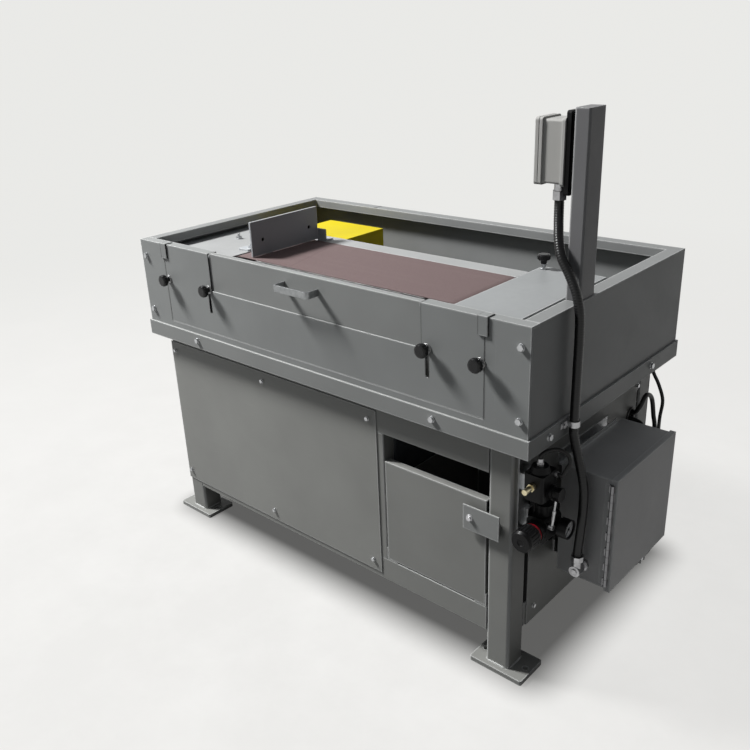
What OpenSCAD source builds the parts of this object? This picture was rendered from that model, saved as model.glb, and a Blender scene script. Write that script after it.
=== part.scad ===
// Horizontal wide belt sander: a flat belt runs over a platen inside a walled tub,
// on a welded stand with a dust bin, a control enclosure and an air unit for the belt tension.
// Origin on the floor in the middle of the four feet, +X to the right, +Y to the back, +Z up.

/* [Tub] */
// Outer length of the tub
tub_l = 1320; // [1310:5:1380]
// Outer depth of the tub
tub_w = 720; // [716:2:760]
// Height of the rim above the floor
rim_z = 900; // [880:5:940]
// Height of the tub walls above the tray lip
tub_h = 246; // [240:2:256]
// Sheet thickness of the tub walls
wall_t = 3; // [2:0.5:4]
// Width of the folded rim on the side and back walls
rim_w = 35; // [30:1:38]
// Width of the folded rim along the front
front_rim_w = 30; // [26:1:40]
// Height of the return under the rim
rim_return = 24; // [16:1:30]
// Distance of the front seams from the tub's ends
seam_in = 109; // [100:1:120]
// Height of the fixed sill above the tray lip
sill_h = 17; // [12:1:24]

/* [Gate] */
// Distance of the gate window from the tub's left end
win_left = 314; // [290:1:360]
// Distance of the gate window from the tub's right end
win_right = 276; // [260:1:320]
// Depth of the gate window below the rim
win_h = 104; // [90:1:116]
// Overlap of the gate behind the front panel
gate_lap = 27; // [22:1:32]
// Length of the slots that the gate's studs run in
gate_slot = 64; // [60:1:70]
// Width of the gate's folded rim
gate_rim_w = 17; // [14:1:22]
// Length of the pull handle
handle_l = 122; // [90:1:150]
// Reach of the pull handle
handle_reach = 38; // [30:1:46]

/* [Knobs] */
// Diameter of the clamp knobs
knob_d = 33; // [28:1:40]
// Height of the clamp knobs
knob_h = 27; // [22:1:30]
// Diameter of the clamp studs
stud_d = 8; // [6:0.5:10]
// Depth of the clamp knobs below the rim
knob_drop = 102; // [96:1:106]

/* [Tray] */
// Sheet thickness of the tray
tray_t = 5; // [3:0.5:6]
// Height of the tray lip
lip_h = 44; // [36:1:52]

/* [Stand] */
// Distance of the stand's ends inside the tub's ends
stand_in = 48; // [40:1:60]
// Distance of the stand's front and back inside the tub's
stand_set = 25; // [18:1:32]
// Side of the square legs
leg_s = 63.5; // [56:0.5:70]
// Wall of the legs and rails
leg_t = 4.8; // [3:0.2:6]
// Length of a foot plate
foot_l = 146; // [140:1:160]
// Depth of a foot plate
foot_w = 96; // [88:1:110]
// Thickness of a foot plate
foot_t = 12; // [8:1:16]
// Anchor hole diameter
anchor_d = 14; // [10:0.5:16]
// Height of the top rails
top_rail_h = 81; // [70:1:90]
// Height of the bottom rails
low_rail_h = 68; // [60:1:76]
// Height of the bottom rails above the floor
low_rail_z = 98; // [80:1:120]
// Depth of the rails
rail_w = 40; // [34:1:46]
// Sheet thickness of the stand panels
sheet_t = 2; // [1.5:0.5:3]
// Width of the bin opening
open_w = 309.5; // [290:0.5:320]
// Width of the upright beside the bin opening
jamb_w = 48; // [40:1:56]

/* [Dust bin] */
// Depth of the bin
bin_d = 400; // [340:5:440]
// Height of the bin front
bin_front_h = 286; // [260:2:300]
// Height of the bin's other sides
bin_h = 220; // [180:2:250]
// Height of the runners
runner_h = 36; // [28:1:44]
// Running clearance of the bin
bin_gap = 0.5; // [0.3:0.1:1]

/* [Belt] */
// Width of the abrasive belt
belt_w = 254; // [230:1:256]
// Thickness of the abrasive belt
belt_t = 1.4; // [1:0.1:2]
// Depth of the belt surface below the rim
belt_drop = 37; // [34:1:48]
// Diameter of the drums
drum_d = 101.6; // [96:0.4:104]
// Distance of the drum centres from the tub's ends
drum_in = 295; // [292:1:298]
// Diameter of the drum shafts
shaft_d = 25; // [22:0.5:28]
// Clearance between belt and drum or platen
belt_gap = 0.3; // [0.2:0.1:0.5]
// Thickness of the platen
platen_t = 12; // [10:0.5:14]
// Release travel of the idler carriage
tension_travel = 20; // [10:1:22]

/* [Drive] */
// Diameter of the drum pulley
pulley_d = 88; // [80:1:92]
// Diameter of the motor pulley
motor_pulley_d = 132; // [110:1:140]
// Shaft height of the motor
motor_h = 114.3; // [106:0.1:120]
// Diameter of the motor body
motor_d = 214; // [190:1:216]
// Distance of the V-belts' middle behind the rear ledge
drive_off = 86; // [84:1:90]

/* [Controls] */
// Width of the post
post_w = 35; // [30:1:40]
// Depth of the post
post_d = 63.5; // [56:0.5:68]
// Height of the post above the rim
post_h = 387; // [360:1:420]
// Middle of the post
post_y = -138; // [-150:1:-130]
// Height of the push-button box
station_h = 134; // [120:1:140]
// Diameter of the flexible conduit
conduit_d = 21; // [18:0.5:22]

/* [Enclosure] */
// Width of the enclosure
enc_w = 294; // [270:1:300]
// Height of the enclosure
enc_h = 286; // [260:1:296]
// Depth of the enclosure
enc_d = 124; // [110:1:140]
// Depth of the enclosure door
door_t = 14; // [10:1:18]

/* [Air unit] */
// Diameter of the regulator knob
reg_knob_d = 52; // [44:1:56]
// Length of the regulator knob
reg_knob_l = 45; // [36:1:50]
// Diameter of the gauge
gauge_d = 46; // [40:1:50]

/* [Hidden] */
$fn = 48;

// Gap between pieces that move against each other, and between welded sheets kept as separate solids
gap = 0.3;
joint_gap = 0.2;
// Radial clearance of a shaft in its bore
run = 0.05;

// Tub and tray planes
tx = tub_l / 2;
ty = tub_w / 2;
seam_x = tx - seam_in;
win_x0 = -tx + win_left;
win_x1 = tx - win_right;
lip_z = rim_z - tub_h;
tray_z = lip_z - lip_h;
deck_z = tray_z + tray_t;
sill_z = lip_z + sill_h;

// Stand planes
bx = tx - stand_in;
by = ty - stand_set;
leg_cx = bx - leg_s / 2;
leg_cy = by - leg_s / 2;
foot_out = 5;
anchor_in = 17;
top_rail_z = tray_z - top_rail_h;
low_top = low_rail_z + low_rail_h;
open_x1 = bx - leg_s;
open_x0 = open_x1 - open_w;
panel_edge = open_x0 - 20;
panel_z0 = low_rail_z + 17;
panel_z1 = tray_z - 23;
side_gap = 12;

// Belt planes
belt_z = rim_z - belt_drop;
platen_z = belt_z - belt_t - belt_gap;
drum_r = drum_d / 2;
drum_z = platen_z - drum_r;
drum_x = tx - drum_in;
// Share of the tub's half depth that the belt's middle lies in front of the tub's middle
belt_share = 109 / 360;
belt_y = -belt_share * ty;
platen_x = drum_x - drum_r - 14;
belt_y0 = belt_y - belt_w / 2;
belt_y1 = belt_y + belt_w / 2;
bearing_h = 36.5;
bearing_w = 38;
bearing_z = drum_z - bearing_h;
bearing_off = belt_w / 2 + 10 + bearing_w / 2;
cover_t = 2;
cover_x = drum_x + 19;
ledge_y0 = belt_y1 + 6;
ledge_y1 = ledge_y0 + 55;
drum_face = belt_w + 10;

// Idler slide: two bearing plates outside the belt, tied by a yoke under the belt's lower run
rail_s = 30;
rail_h = 20;
plate_t = 12;
carriage_z = bearing_z - plate_t;
block_h = rail_h - 2;
block_w = 2 * (bearing_off - drum_face / 2 - 2);
slide_z = carriage_z - gap - rail_h;
slide_y = bearing_off;
carriage_x0 = drum_x - 70;
carriage_x1 = drum_x + 80;
ram_s = 60;
ram_z = drum_z - drum_r - belt_gap - belt_t - ram_s / 2 - 10;
rod_d = 16;
yoke_x0 = carriage_x0 + 27;
yoke_t = 12;
yoke_z1 = drum_z - drum_r - belt_gap - belt_t - 4;
pedestal_x = platen_x - 70;
pedestal_t = 12;
ram_x0 = pedestal_x + pedestal_t / 2;
ram_x1 = yoke_x0 - tension_travel - 3;
arm_z = drum_z - drum_r + 22;

// Drive
guard_t = 2;
guard_w = 228;
drive_y = ledge_y1 + drive_off;
guard_y0 = ledge_y1 + 3;
guard_y1 = drive_y + 81;
motor_x = -drum_x;
mount_t = 10;
motor_z = low_top + mount_t + motor_h;
motor_len = 290;
motor_y1 = drive_y - 65;
motor_shaft_d = 28;
groove_w = 9.6;
groove_pitch = 18;
groove_deep = 11;
vbelt_t = 8;
vbelt_w = 9;

// Controls
post_x1 = tx - wall_t;
post_x0 = post_x1 - post_w;
post_top = rim_z + post_h;
post_low = rim_z - 200;
back_t = 16;
back_h = 166;
station_d = 58;
lid_d = 8;
lid_gap = 1.5;
flange_t = 7;
station_x1 = post_x0 - back_t;
station_x0 = station_x1 - station_d;
station_w = 72;
station_zc = post_top - 87;
start_z = station_zc + 27;
stop_z = station_zc - 27;

// Enclosure
bar_d = 28;
bar_h = 34;
enc_x0 = bx + bar_d;
enc_x1 = enc_x0 + enc_d;
enc_yc = -28;
enc_y0 = enc_yc - enc_w / 2;
enc_y1 = enc_yc + enc_w / 2;
enc_z1 = tray_z - 96;
enc_z0 = enc_z1 - enc_h;
enc_t = 2;
door_lap = 3;
hinge_d = 8;
hinge_x = enc_x1 + hinge_d / 2;
hinge_y = enc_y0 - hinge_d / 2 - door_lap;
latch_y = enc_yc + 30;

// Air unit, hung on the right face of the front right leg
air_y = -leg_cy + 13;
valve_z = tray_z - 90;
reg_z = tray_z - 205;
air_x = bx + 40;
reg_y0 = air_y - 8;
reg_y1 = air_y + 55;
gauge_y = air_y + 34;
gauge_x0 = air_x + 38;

// Conduit: out of the push-button box, round the front of the post, down the outside of the tub to the enclosure
gland_x = station_x0 + 32;
gland_z = station_zc - station_h / 2 - 33;
post_front = post_y - post_d / 2;
strap_x = tx + tray_t + 15;
strap_z = lip_z - 14;
elbow_x = enc_x0 + 68;
elbow_y = enc_y0 - 31;
elbow_z = enc_z0 + 84;
function between(a, b, t) = a + (b - a) * t;
conduit_route = concat([[gland_x, post_y, gland_z], [gland_x, post_y, gland_z - 14]],
  [for (p = [[gland_x + 5, post_y - 7, 0.22], [post_x0 - 22, post_front + 9, 0.43], [post_x0 - 12, post_front - 9, 0.59],
    [post_x0 + 12, post_front - 17, 0.71], [strap_x - 11, elbow_y + 5, 0.88], [strap_x, elbow_y, 1.08]])
    [p[0], p[1], between(gland_z, rim_z, p[2])]],
  [for (z = [rim_z - 140, strap_z + 30, strap_z + 10, strap_z - 10, strap_z - 24]) [strap_x, elbow_y, z]],
  [for (p = [[strap_x + 7, 0.16], [strap_x + 19, 0.29], [elbow_x + 4, 0.45], [elbow_x + 6, 0.6], [elbow_x + 4, 0.77],
    [elbow_x, 0.95], [elbow_x, 1]]) [p[0], elbow_y, between(strap_z, elbow_z, p[1])]]);

// Cables: two leads out of a grommet in the side panel, one of them looped up and over, and one from under the tray,
// to glands in the back of the enclosure
grommet = [bx, by - 106, tray_z - 138];
grommet_d = 40;
tray_lead = [enc_x0 + 10, ty - 98, tray_z - gap];
glands = [[elbow_x - 20, enc_y1, enc_z0 + 222], [elbow_x - 44, enc_y1, enc_z0 + 186], [elbow_x + 8, enc_y1, enc_z0 + 244]];
cable_d = [12, 12, 9];
cable_routes = [
  concat([for (o = [[-24, -8, -6], [12, -8, -6], [38, -12, -10]]) grommet + o],
    [for (o = [[-8, 60, 6], [0, 38, 0], [0, 24, 0], [0, 0, 0]]) glands[0] + o]),
  concat([for (o = [[-24, 8, 4], [6, 8, 5], [21, 11, 28], [25, 33, 52], [25, 69, 32], [28, 84, -20], [42, 62, -60]]) grommet + o],
    [for (o = [[-6, 68, -6], [0, 38, 0], [0, 24, 0], [0, 0, 0]]) glands[1] + o]),
  concat([for (o = [[0, 0, 0], [0, 0, -16], [18, 0, -48], [32, 0, -88], [33, -10, -132]]) tray_lead + o],
    [for (o = [[-6, 64, -8], [0, 38, 0], [0, 24, 0], [0, 0, 0]]) glands[2] + o])];
cable_ref = [[0, 0, 1], [0.5, 0.5, 0.7], [1, 0.5, 0.6]];

// Flat shapes

module rounded(w, h, r) {
  square([w - 2 * r, h], center = true);
  square([w, h - 2 * r], center = true);
  for (sx = [-1, 1], sy = [-1, 1]) translate([sx * (w / 2 - r), sy * (h / 2 - r)]) circle(r);
}

module hollow(w, h, t, r) {
  difference() {
    rounded(w, h, r);
    square([w - 2 * t, h - 2 * t], center = true);
  }
}

module stadium(c, r) {
  square([c, 2 * r], center = true);
  for (s = [-1, 1]) translate([s * c / 2, 0]) circle(r, $fn = 96);
}

// Extrusions along the machine's axes: the flat shape's first axis is Y or X, its second is Z

module along_x(x0, x1) {
  translate([x0, 0, 0]) rotate([90, 0, 90]) linear_extrude(x1 - x0) children();
}

module along_y(y0, y1) {
  translate([0, y1, 0]) rotate([90, 0, 0]) linear_extrude(y1 - y0) children();
}

module slab(a, b) {
  translate(a) cube(b - a);
}

// Round pieces that point along -Y, +Y or +X

module to_front() { rotate([90, 0, 0]) children(); }
module to_back() { rotate([-90, 0, 0]) children(); }
module to_right() { rotate([0, 90, 0]) children(); }

module hex_bolt(d, grip) {
  cylinder(d = 2.1 * d, h = 1.6);
  translate([0, 0, 1.6]) cylinder(d = 1.9 * d, h = 0.65 * d, $fn = 6);
  if (grip > 0) translate([0, 0, -grip]) cylinder(d = d, h = grip);
}

// A moulded clamp knob with shallow flutes on a bright stud; the seat is at z = 0
module clamp_knob(d, h, stud, reach) {
  difference() {
    rotate_extrude() polygon([[0, 2], [0.22 * d, 2], [0.25 * d, 0.36 * h], [0.44 * d, 0.46 * h], [0.5 * d, 0.56 * h],
      [0.5 * d, 0.84 * h], [0.45 * d, 0.96 * h], [0.34 * d, h], [0, h]]);
    for (i = [0 : 6]) rotate(i * 360 / 7) translate([0.58 * d, 0, -1]) cylinder(r = 0.12 * d, h = h + 2, $fn = 24);
  }
  cylinder(d = 0.56 * d, h = 2);
  translate([0, 0, -reach]) cylinder(d = stud, h = reach);
}

// A round tube swept along its own route; ref is a direction that the route never runs along
function along(p, k) = [for (i = [0 : len(p) - 2], j = [0 : k - 1])
    let (a = p[max(i - 1, 0)], b = p[i], c = p[i + 1], d = p[min(i + 2, len(p) - 1)], t = j / k)
    0.5 * (2 * b + (c - a) * t + (2 * a - 5 * b + 4 * c - d) * t * t + (3 * b - a - 3 * c + d) * t * t * t),
  p[len(p) - 1]];

function unit(v) = v / norm(v);

module swept(route, d, ref, k = 2, n = 10) {
  p = along(route, k);
  m = len(p);
  rings = [for (i = [0 : m - 1])
    let (from = i == m - 1 ? route[len(route) - 2] : p[max(i - 1, 0)], to = i == 0 ? route[1] : p[min(i + 1, m - 1)],
      tan = unit(to - from), side = unit(cross(tan, ref)), up = cross(side, tan))
    for (j = [0 : n - 1]) p[i] + d / 2 * (cos(j * 360 / n) * side + sin(j * 360 / n) * up)];
  walls = [for (i = [0 : m - 2], j = [0 : n - 1])
    let (a = i * n + j, b = i * n + (j + 1) % n)
    each [[a, b, b + n], [a, b + n, a + n]]];
  polyhedron(rings, concat(walls, [[for (j = [n - 1 : -1 : 0]) j], [for (j = [0 : n - 1]) (m - 1) * n + j]]));
}

// A round bar between two points
module rod(a, b, d) {
  v = b - a;
  translate(a) rotate([0, acos(v[2] / norm(v)), atan2(v[1], v[0])]) cylinder(d = d, h = norm(v), $fn = 24);
}

// Stand

module legs() {
  color([0.43, 0.44, 0.42])
  for (sx = [-1, 1], sy = [-1, 1]) translate([sx * leg_cx, sy * leg_cy, 0]) {
    translate([sx * foot_out, 0, 0]) linear_extrude(foot_t) difference() {
      rounded(foot_l, foot_w, 5);
      for (e = [-1, 1]) translate([e * (foot_l / 2 - anchor_in), 0]) circle(d = anchor_d);
    }
    translate([0, 0, foot_t]) linear_extrude(tray_z - foot_t) hollow(leg_s, leg_s, leg_t, 8);
  }
}

module rail_x(y0, z0, h) {
  along_x(-bx + leg_s, bx - leg_s) translate([y0 + rail_w / 2, z0 + h / 2]) hollow(rail_w, h, leg_t, 3);
}

module rail_y(x0, z0, h) {
  along_y(-by + leg_s, by - leg_s) translate([x0 + rail_w / 2, z0 + h / 2]) hollow(rail_w, h, leg_t, 3);
}

module rails() {
  color([0.42, 0.43, 0.41])
  for (r = [[top_rail_z, top_rail_h], [low_rail_z, low_rail_h]]) {
    rail_x(-by, r[0], r[1]);
    rail_x(by - rail_w, r[0], r[1]);
    rail_y(-bx + sheet_t, r[0], r[1]);
    rail_y(bx - sheet_t - rail_w, r[0], r[1]);
  }
}

motor_bars = [motor_x - 85, motor_x + 85];
motor_foot_y = [motor_y1 - 230, motor_y1 - 90];

module cross_members() {
  color([0.42, 0.43, 0.41]) {
    translate([open_x0 - jamb_w / 2, -by + rail_w / 2, low_top]) linear_extrude(top_rail_z - low_top)
      hollow(jamb_w, rail_w, leg_t, 3);
    for (x = motor_bars) along_y(-by + rail_w, by - rail_w) translate([x, low_top - 20]) hollow(40, 40, leg_t, 3);
    difference() {
      slab([motor_x - 120, motor_y1 - 270, low_top], [motor_x + 120, motor_y1 - 20, low_top + mount_t]);
      for (x = motor_bars, y = motor_foot_y) translate([x, y, low_top - 1]) cylinder(d = 11, h = mount_t + 2);
    }
  }
}

front_screws = [for (x = [-bx + 17, (panel_edge - bx) / 2 - 2, panel_edge - 28], z = [panel_z0 + 31, panel_z1 - 28]) [x, z]];
side_screws = [for (y = [-by + leg_s + 42, by - leg_s - 14], z = [low_rail_z + 40, panel_z1 - 40]) [y, z]];
rear_screws = [for (x = [-bx + 17, 0, bx - 17], z = [panel_z0 + 31, panel_z1 - 28]) [x, z]];
screw_d = 6;

module front_panel() {
  color([0.45, 0.46, 0.44])
  along_y(-by - sheet_t, -by) difference() {
    translate([-bx + 1, panel_z0]) square([panel_edge + bx - 1, panel_z1 - panel_z0]);
    for (s = front_screws) translate(s) circle(d = screw_d + 0.6);
  }
}

module side_sheet() {
  along_x(bx - sheet_t, bx) difference() {
    translate([-by + leg_s + side_gap, low_rail_z]) square([2 * (by - leg_s - side_gap), panel_z1 - low_rail_z]);
    for (s = side_screws) translate(s) circle(d = screw_d + 0.6);
  }
}

module base_panels() {
  color([0.45, 0.46, 0.44]) {
    difference() {
      side_sheet();
      translate(grommet) to_right() cylinder(d = grommet_d, h = 10, center = true);
    }
    mirror([1, 0, 0]) side_sheet();
    along_y(by, by + sheet_t) difference() {
      translate([-bx + 1, panel_z0]) square([2 * bx - 2, panel_z1 - panel_z0]);
      for (s = rear_screws) translate(s) circle(d = screw_d + 0.6);
      for (i = [0 : 7], c = [-1, 1]) translate([motor_x + c * 62, motor_z - 70 + i * 20]) rounded(100, 7, 3.4);
    }
  }
}

// Dust bin

bin_x0 = open_x0 + 3 + bin_gap;
bin_x1 = open_x1 - 4 - bin_gap;
bin_z = low_top + 3 + gap;

module dust_bin() {
  color([0.45, 0.46, 0.44]) {
    slab([bin_x0, -by, bin_z], [bin_x1, -by + sheet_t, bin_z + bin_front_h]);
    slab([bin_x0, -by, bin_z + bin_front_h - sheet_t], [bin_x1, -by + 20, bin_z + bin_front_h]);
    slab([bin_x0, -by, bin_z], [bin_x1, -by + bin_d, bin_z + sheet_t]);
    slab([bin_x0, -by + bin_d - sheet_t, bin_z], [bin_x1, -by + bin_d, bin_z + bin_h]);
    for (x = [bin_x0, bin_x1 - sheet_t]) slab([x, -by, bin_z], [x + sheet_t, -by + bin_d, bin_z + bin_h]);
  }
}

module runner() {
  along_y(-by, by) polygon([[0, 0], [34, 0], [34, 3], [3, 3], [3, runner_h], [0, runner_h]]);
}

module bin_runners() {
  color([0.36, 0.37, 0.36]) {
    translate([bin_x0 - bin_gap - 3, 0, low_top]) runner();
    translate([bin_x1 + bin_gap + 3, 0, low_top]) mirror([1, 0, 0]) runner();
  }
}

catch_z = bin_z + 233;
catch_x0 = open_x1 - 60;
catch_x1 = open_x1 + 38;
catch_off = 10;

module bin_catch() {
  color([0.45, 0.46, 0.44]) {
    slab([catch_x0, -by - catch_off - 3, catch_z - 32], [catch_x1, -by - catch_off, catch_z + 32]);
    translate([catch_x0 + 19, -by, catch_z]) to_front() cylinder(d = 22, h = catch_off);
    translate([catch_x0 + 19, -by - catch_off - 3, catch_z + 2]) to_front() hex_bolt(7, 0);
    translate([catch_x1 - 19, -by - gap, catch_z]) to_front() cylinder(d = 30, h = catch_off - gap);
  }
}

// Tray and tub

chute_x = [open_x0 + 24, open_x1 - 24];
chute_y = [belt_y - slide_y + 32, belt_y + slide_y - 32];

module tray() {
  color([0.44, 0.45, 0.43])
  difference() {
    slab([-tx - tray_t, -ty - tray_t, tray_z], [tx + tray_t, ty + tray_t, lip_z]);
    slab([-tx, -ty, deck_z], [tx, ty, lip_z + 1]);
    slab([chute_x[0], chute_y[0], tray_z - 1], [chute_x[1], chute_y[1], deck_z + 1]);
    slab([motor_x - belt_hole, drive_y - 32, tray_z - 1], [motor_x + belt_hole, drive_y + 32, deck_z + 1]);
    for (b = lip_bolts) translate([b[0], -ty - tray_t / 2, b[1]]) to_front() cylinder(d = bolt_d + 1, h = tray_t + 2, center = true);
    for (b = side_lip_bolts) translate([tx + tray_t / 2, b[0], b[1]]) to_right() cylinder(d = bolt_d + 1, h = tray_t + 2, center = true);
  }
}

bolt_d = 8;
belt_hole = motor_pulley_d / 2 + 16;
lip_bolts = [for (x = [-tx + 226, tx - 245]) [x, lip_z - lip_h / 2 + 2]];
side_lip_bolts = [for (y = [-ty + 75, ty - 154]) [y, lip_z - lip_h / 2 + 2]];
corner_x = tx - 22;
corner_bolts = [for (s = [-1, 1], z = [rim_z - 46, lip_z + 38]) [s * corner_x, z]];

// A wall with its rim folded in and turned down, seen from its end: the outer face is at u = 0
module wall_profile(w) {
  polygon([[0, deck_z], [wall_t, deck_z], [wall_t, rim_z - wall_t], [w - wall_t, rim_z - wall_t],
    [w - wall_t, rim_z - rim_return], [w, rim_z - rim_return], [w, rim_z], [0, rim_z]]);
}

module side_wall(notched) {
  translate([tx, 0, 0]) difference() {
    union() {
      along_y(-ty + front_rim_w + joint_gap, ty - rim_w - joint_gap) mirror([1, 0]) wall_profile(rim_w);
      slab([-wall_t, -ty + wall_t + joint_gap, deck_z], [0, ty - wall_t - joint_gap, rim_z - wall_t - joint_gap]);
      slab([-46, -ty + wall_t + joint_gap, deck_z], [-wall_t, -ty + 2 * wall_t + joint_gap, rim_z - rim_return - 4]);
    }
    for (b = corner_bolts) if (b[0] > 0) translate([b[0] - tx, -ty, b[1]]) to_back() cylinder(d = bolt_d + 1, h = 20);
    if (notched) slab([-rim_w - 1, post_y - post_d / 2 - 3, rim_z - rim_return - 1], [-wall_t, post_y + post_d / 2 + 3, rim_z + 1]);
    if (notched) for (b = side_lip_bolts) translate([0, b[0], b[1]]) to_right() cylinder(d = bolt_d + 1, h = 20, center = true);
  }
}

back_seam = -350;

module tub_walls() {
  color([0.44, 0.45, 0.44]) {
    side_wall(true);
    mirror([1, 0, 0]) side_wall(false);
    for (r = [[-tx, back_seam], [back_seam + joint_gap, tx]])
      translate([0, ty, 0]) along_x(r[0], r[1]) mirror([1, 0]) wall_profile(rim_w);
  }
}

// A fixed front corner with the strap that backs the seam
module front_corner() {
  translate([0, -ty, 0]) difference() {
    union() {
      along_x(seam_x, tx) wall_profile(front_rim_w);
      slab([seam_x - 28, wall_t, sill_z + 4], [seam_x + 26, 2 * wall_t, rim_z - rim_return - 8]);
    }
    for (b = corner_bolts) if (b[0] > 0) translate([b[0], 0, b[1]]) to_back() cylinder(d = bolt_d + 1, h = 20, center = true);
    translate([panel_knob_x, 0, knob_z]) to_back() cylinder(d = stud_d + 2 * run, h = 60, center = true);
    slab([tx - wall_t - joint_gap, front_rim_w - wall_t - 1, rim_z - rim_return - 1], [tx + 1, front_rim_w + 1, rim_z - wall_t]);
  }
}

panel_knob_x = seam_x - 10;
knob_z = rim_z - knob_drop;

module front_frame() {
  color([0.45, 0.46, 0.44]) {
    front_corner();
    mirror([1, 0, 0]) front_corner();
    along_y(-ty, -ty + wall_t) difference() {
      translate([-seam_x + joint_gap, deck_z]) square([2 * (seam_x - joint_gap), sill_z - deck_z]);
      for (b = lip_bolts) translate(b) circle(d = bolt_d + 1);
    }
  }
}

gate_knob_x = [win_x0 - 12, win_x1 + 16];

module rim_clip(s) {
  // Folded over the rim at a seam, fixed to the panel and lying just clear of the corner
  x0 = seam_x - 17;
  x1 = seam_x + 9;
  mirror([s < 0 ? 1 : 0, 0, 0]) difference() {
    along_x(x0, x1) polygon([[-ty - gap - wall_t, rim_z - 41], [-ty, rim_z - 41], [-ty, rim_z], [-ty + 22, rim_z],
      [-ty + 22, rim_z + gap + 2], [-ty - gap - wall_t, rim_z + gap + 2]]);
    slab([seam_x - gap, -ty - gap, rim_z - 60], [x1 + 1, -ty + 40, rim_z + gap]);
  }
}

module access_panel() {
  x1 = seam_x - gap;
  color([0.45, 0.46, 0.44]) {
    difference() {
      union() {
        along_y(-ty, -ty + wall_t) difference() {
          translate([-x1, sill_z + gap]) square([2 * x1, rim_z - sill_z - gap]);
          translate([win_x0, rim_z - win_h]) square([win_x1 - win_x0, win_h + 1]);
          for (x = gate_knob_x) {
            translate([x, knob_z]) circle(d = stud_d + 1);
            translate([x, knob_z - gate_slot]) circle(d = stud_d + 1);
            translate([x, knob_z - gate_slot / 2]) square([stud_d + 1, gate_slot], center = true);
          }
          for (s = [-1, 1]) translate([s * panel_knob_x, knob_z]) circle(d = stud_d + 1);
        }
        for (r = [[-x1, win_x0], [win_x1, x1]]) along_x(r[0], r[1])
          polygon([[-ty, rim_z - wall_t], [-ty + front_rim_w, rim_z - wall_t], [-ty + front_rim_w, rim_z], [-ty, rim_z]]);
        for (s = [-1, 1]) rim_clip(s);
      }
    }
  }
}

gate_y = -ty + wall_t + gap;
gate_z0 = rim_z - win_h - gate_lap;

module gate() {
  color([0.46, 0.47, 0.45])
  difference() {
    union() {
      along_y(gate_y, gate_y + wall_t) {
        translate([win_x0 - gate_lap, gate_z0]) square([win_x1 - win_x0 + 2 * gate_lap, win_h + gate_lap - wall_t - 8]);
        translate([win_x0 + 2, gate_z0]) square([win_x1 - win_x0 - 4, win_h + gate_lap]);
      }
      along_x(win_x0 + 2, win_x1 - 2) polygon([[gate_y, rim_z - wall_t], [gate_y + gate_rim_w, rim_z - wall_t],
        [gate_y + gate_rim_w, rim_z], [gate_y, rim_z]]);
    }
    for (x = gate_knob_x) translate([x, gate_y, knob_z]) to_back() cylinder(d = stud_d + 2 * run, h = 20, center = true);
  }
}

handle_z = rim_z - 44;

module gate_handle() {
  // A strap bent to a flat-bottomed D, its two feet against the gate
  r = 9;
  t = 5;
  color([0.5, 0.51, 0.5])
  translate([(win_x0 + win_x1) / 2 - 11, gate_y, handle_z]) linear_extrude(17) difference() {
    union() {
      translate([-handle_l / 2, -handle_reach + r]) square([handle_l, handle_reach - r]);
      translate([-handle_l / 2 + r, -handle_reach]) square([handle_l - 2 * r, r]);
      for (s = [-1, 1]) translate([s * (handle_l / 2 - r), -handle_reach + r]) circle(r);
    }
    translate([-handle_l / 2 + t, -handle_reach + r]) square([handle_l - 2 * t, handle_reach - r + 1]);
    translate([-handle_l / 2 + r, -handle_reach + t]) square([handle_l - 2 * r, r]);
    for (s = [-1, 1]) translate([s * (handle_l / 2 - r), -handle_reach + r]) circle(r - t);
  }
}

module front_knob(x) {
  color([0.06, 0.06, 0.06])
  translate([x, -ty - gap, knob_z]) to_front() clamp_knob(knob_d, knob_h, stud_d, 3 * wall_t);
}

module gate_knob_left() { front_knob(gate_knob_x[0]); }
module gate_knob_right() { front_knob(gate_knob_x[1]); }
module panel_knob_left() { front_knob(-panel_knob_x); }
module panel_knob_right() { front_knob(panel_knob_x); }

module bolts() {
  color([0.72, 0.73, 0.74]) {
    for (b = lip_bolts) translate([b[0], -ty - tray_t, b[1]]) to_front() hex_bolt(bolt_d, tray_t + wall_t + 6);
    for (b = side_lip_bolts) translate([tx + tray_t, b[0], b[1]]) to_right() hex_bolt(bolt_d, tray_t + wall_t + 6);
    for (b = corner_bolts) translate([b[0], -ty, b[1]]) to_front() hex_bolt(bolt_d, 2 * wall_t + 6);
    for (s = front_screws) translate([s[0], -by - sheet_t, s[1]]) to_front() hex_bolt(screw_d, sheet_t);
    for (s = rear_screws) translate([s[0], by + sheet_t, s[1]]) to_back() hex_bolt(screw_d, sheet_t);
    for (s = side_screws, m = [0, 1]) mirror([m, 0, 0]) translate([bx, s[0], s[1]]) to_right() hex_bolt(screw_d, sheet_t);
    translate([-(tx + cover_x) / 2 - 11, belt_y + 11, belt_z]) {
      hex_bolt(9, 0);
      cylinder(d = 7, h = 17);
    }
  }
}

// Bed, platen and belt

module bed_frame() {
  color([0.4, 0.41, 0.4]) {
    // Arms that reach between the two runs of the belt from uprights behind it
    for (s = [-1, 1]) along_x(s * pedestal_x - pedestal_t / 2, s * pedestal_x + pedestal_t / 2) difference() {
      polygon([[ledge_y0 + 4, deck_z], [ledge_y1 - 3, deck_z], [ledge_y1 - 3, platen_z - cover_t],
        [ledge_y0 + 6, platen_z - cover_t], [ledge_y0 + 6, platen_z - platen_t], [belt_y0 + 8, platen_z - platen_t],
        [belt_y0 + 8, platen_z - platen_t - 22], [belt_y0 + 60, arm_z], [ledge_y0 + 4, arm_z]]);
      for (y = [belt_y - 36, belt_y + 44]) translate([y, (arm_z + platen_z - platen_t) / 2]) circle(d = 40);
    }
    slab([-pedestal_x + pedestal_t / 2, ledge_y1 - 15, deck_z], [pedestal_x - pedestal_t / 2, ledge_y1 - 3, deck_z + 90]);
  }
}

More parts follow.
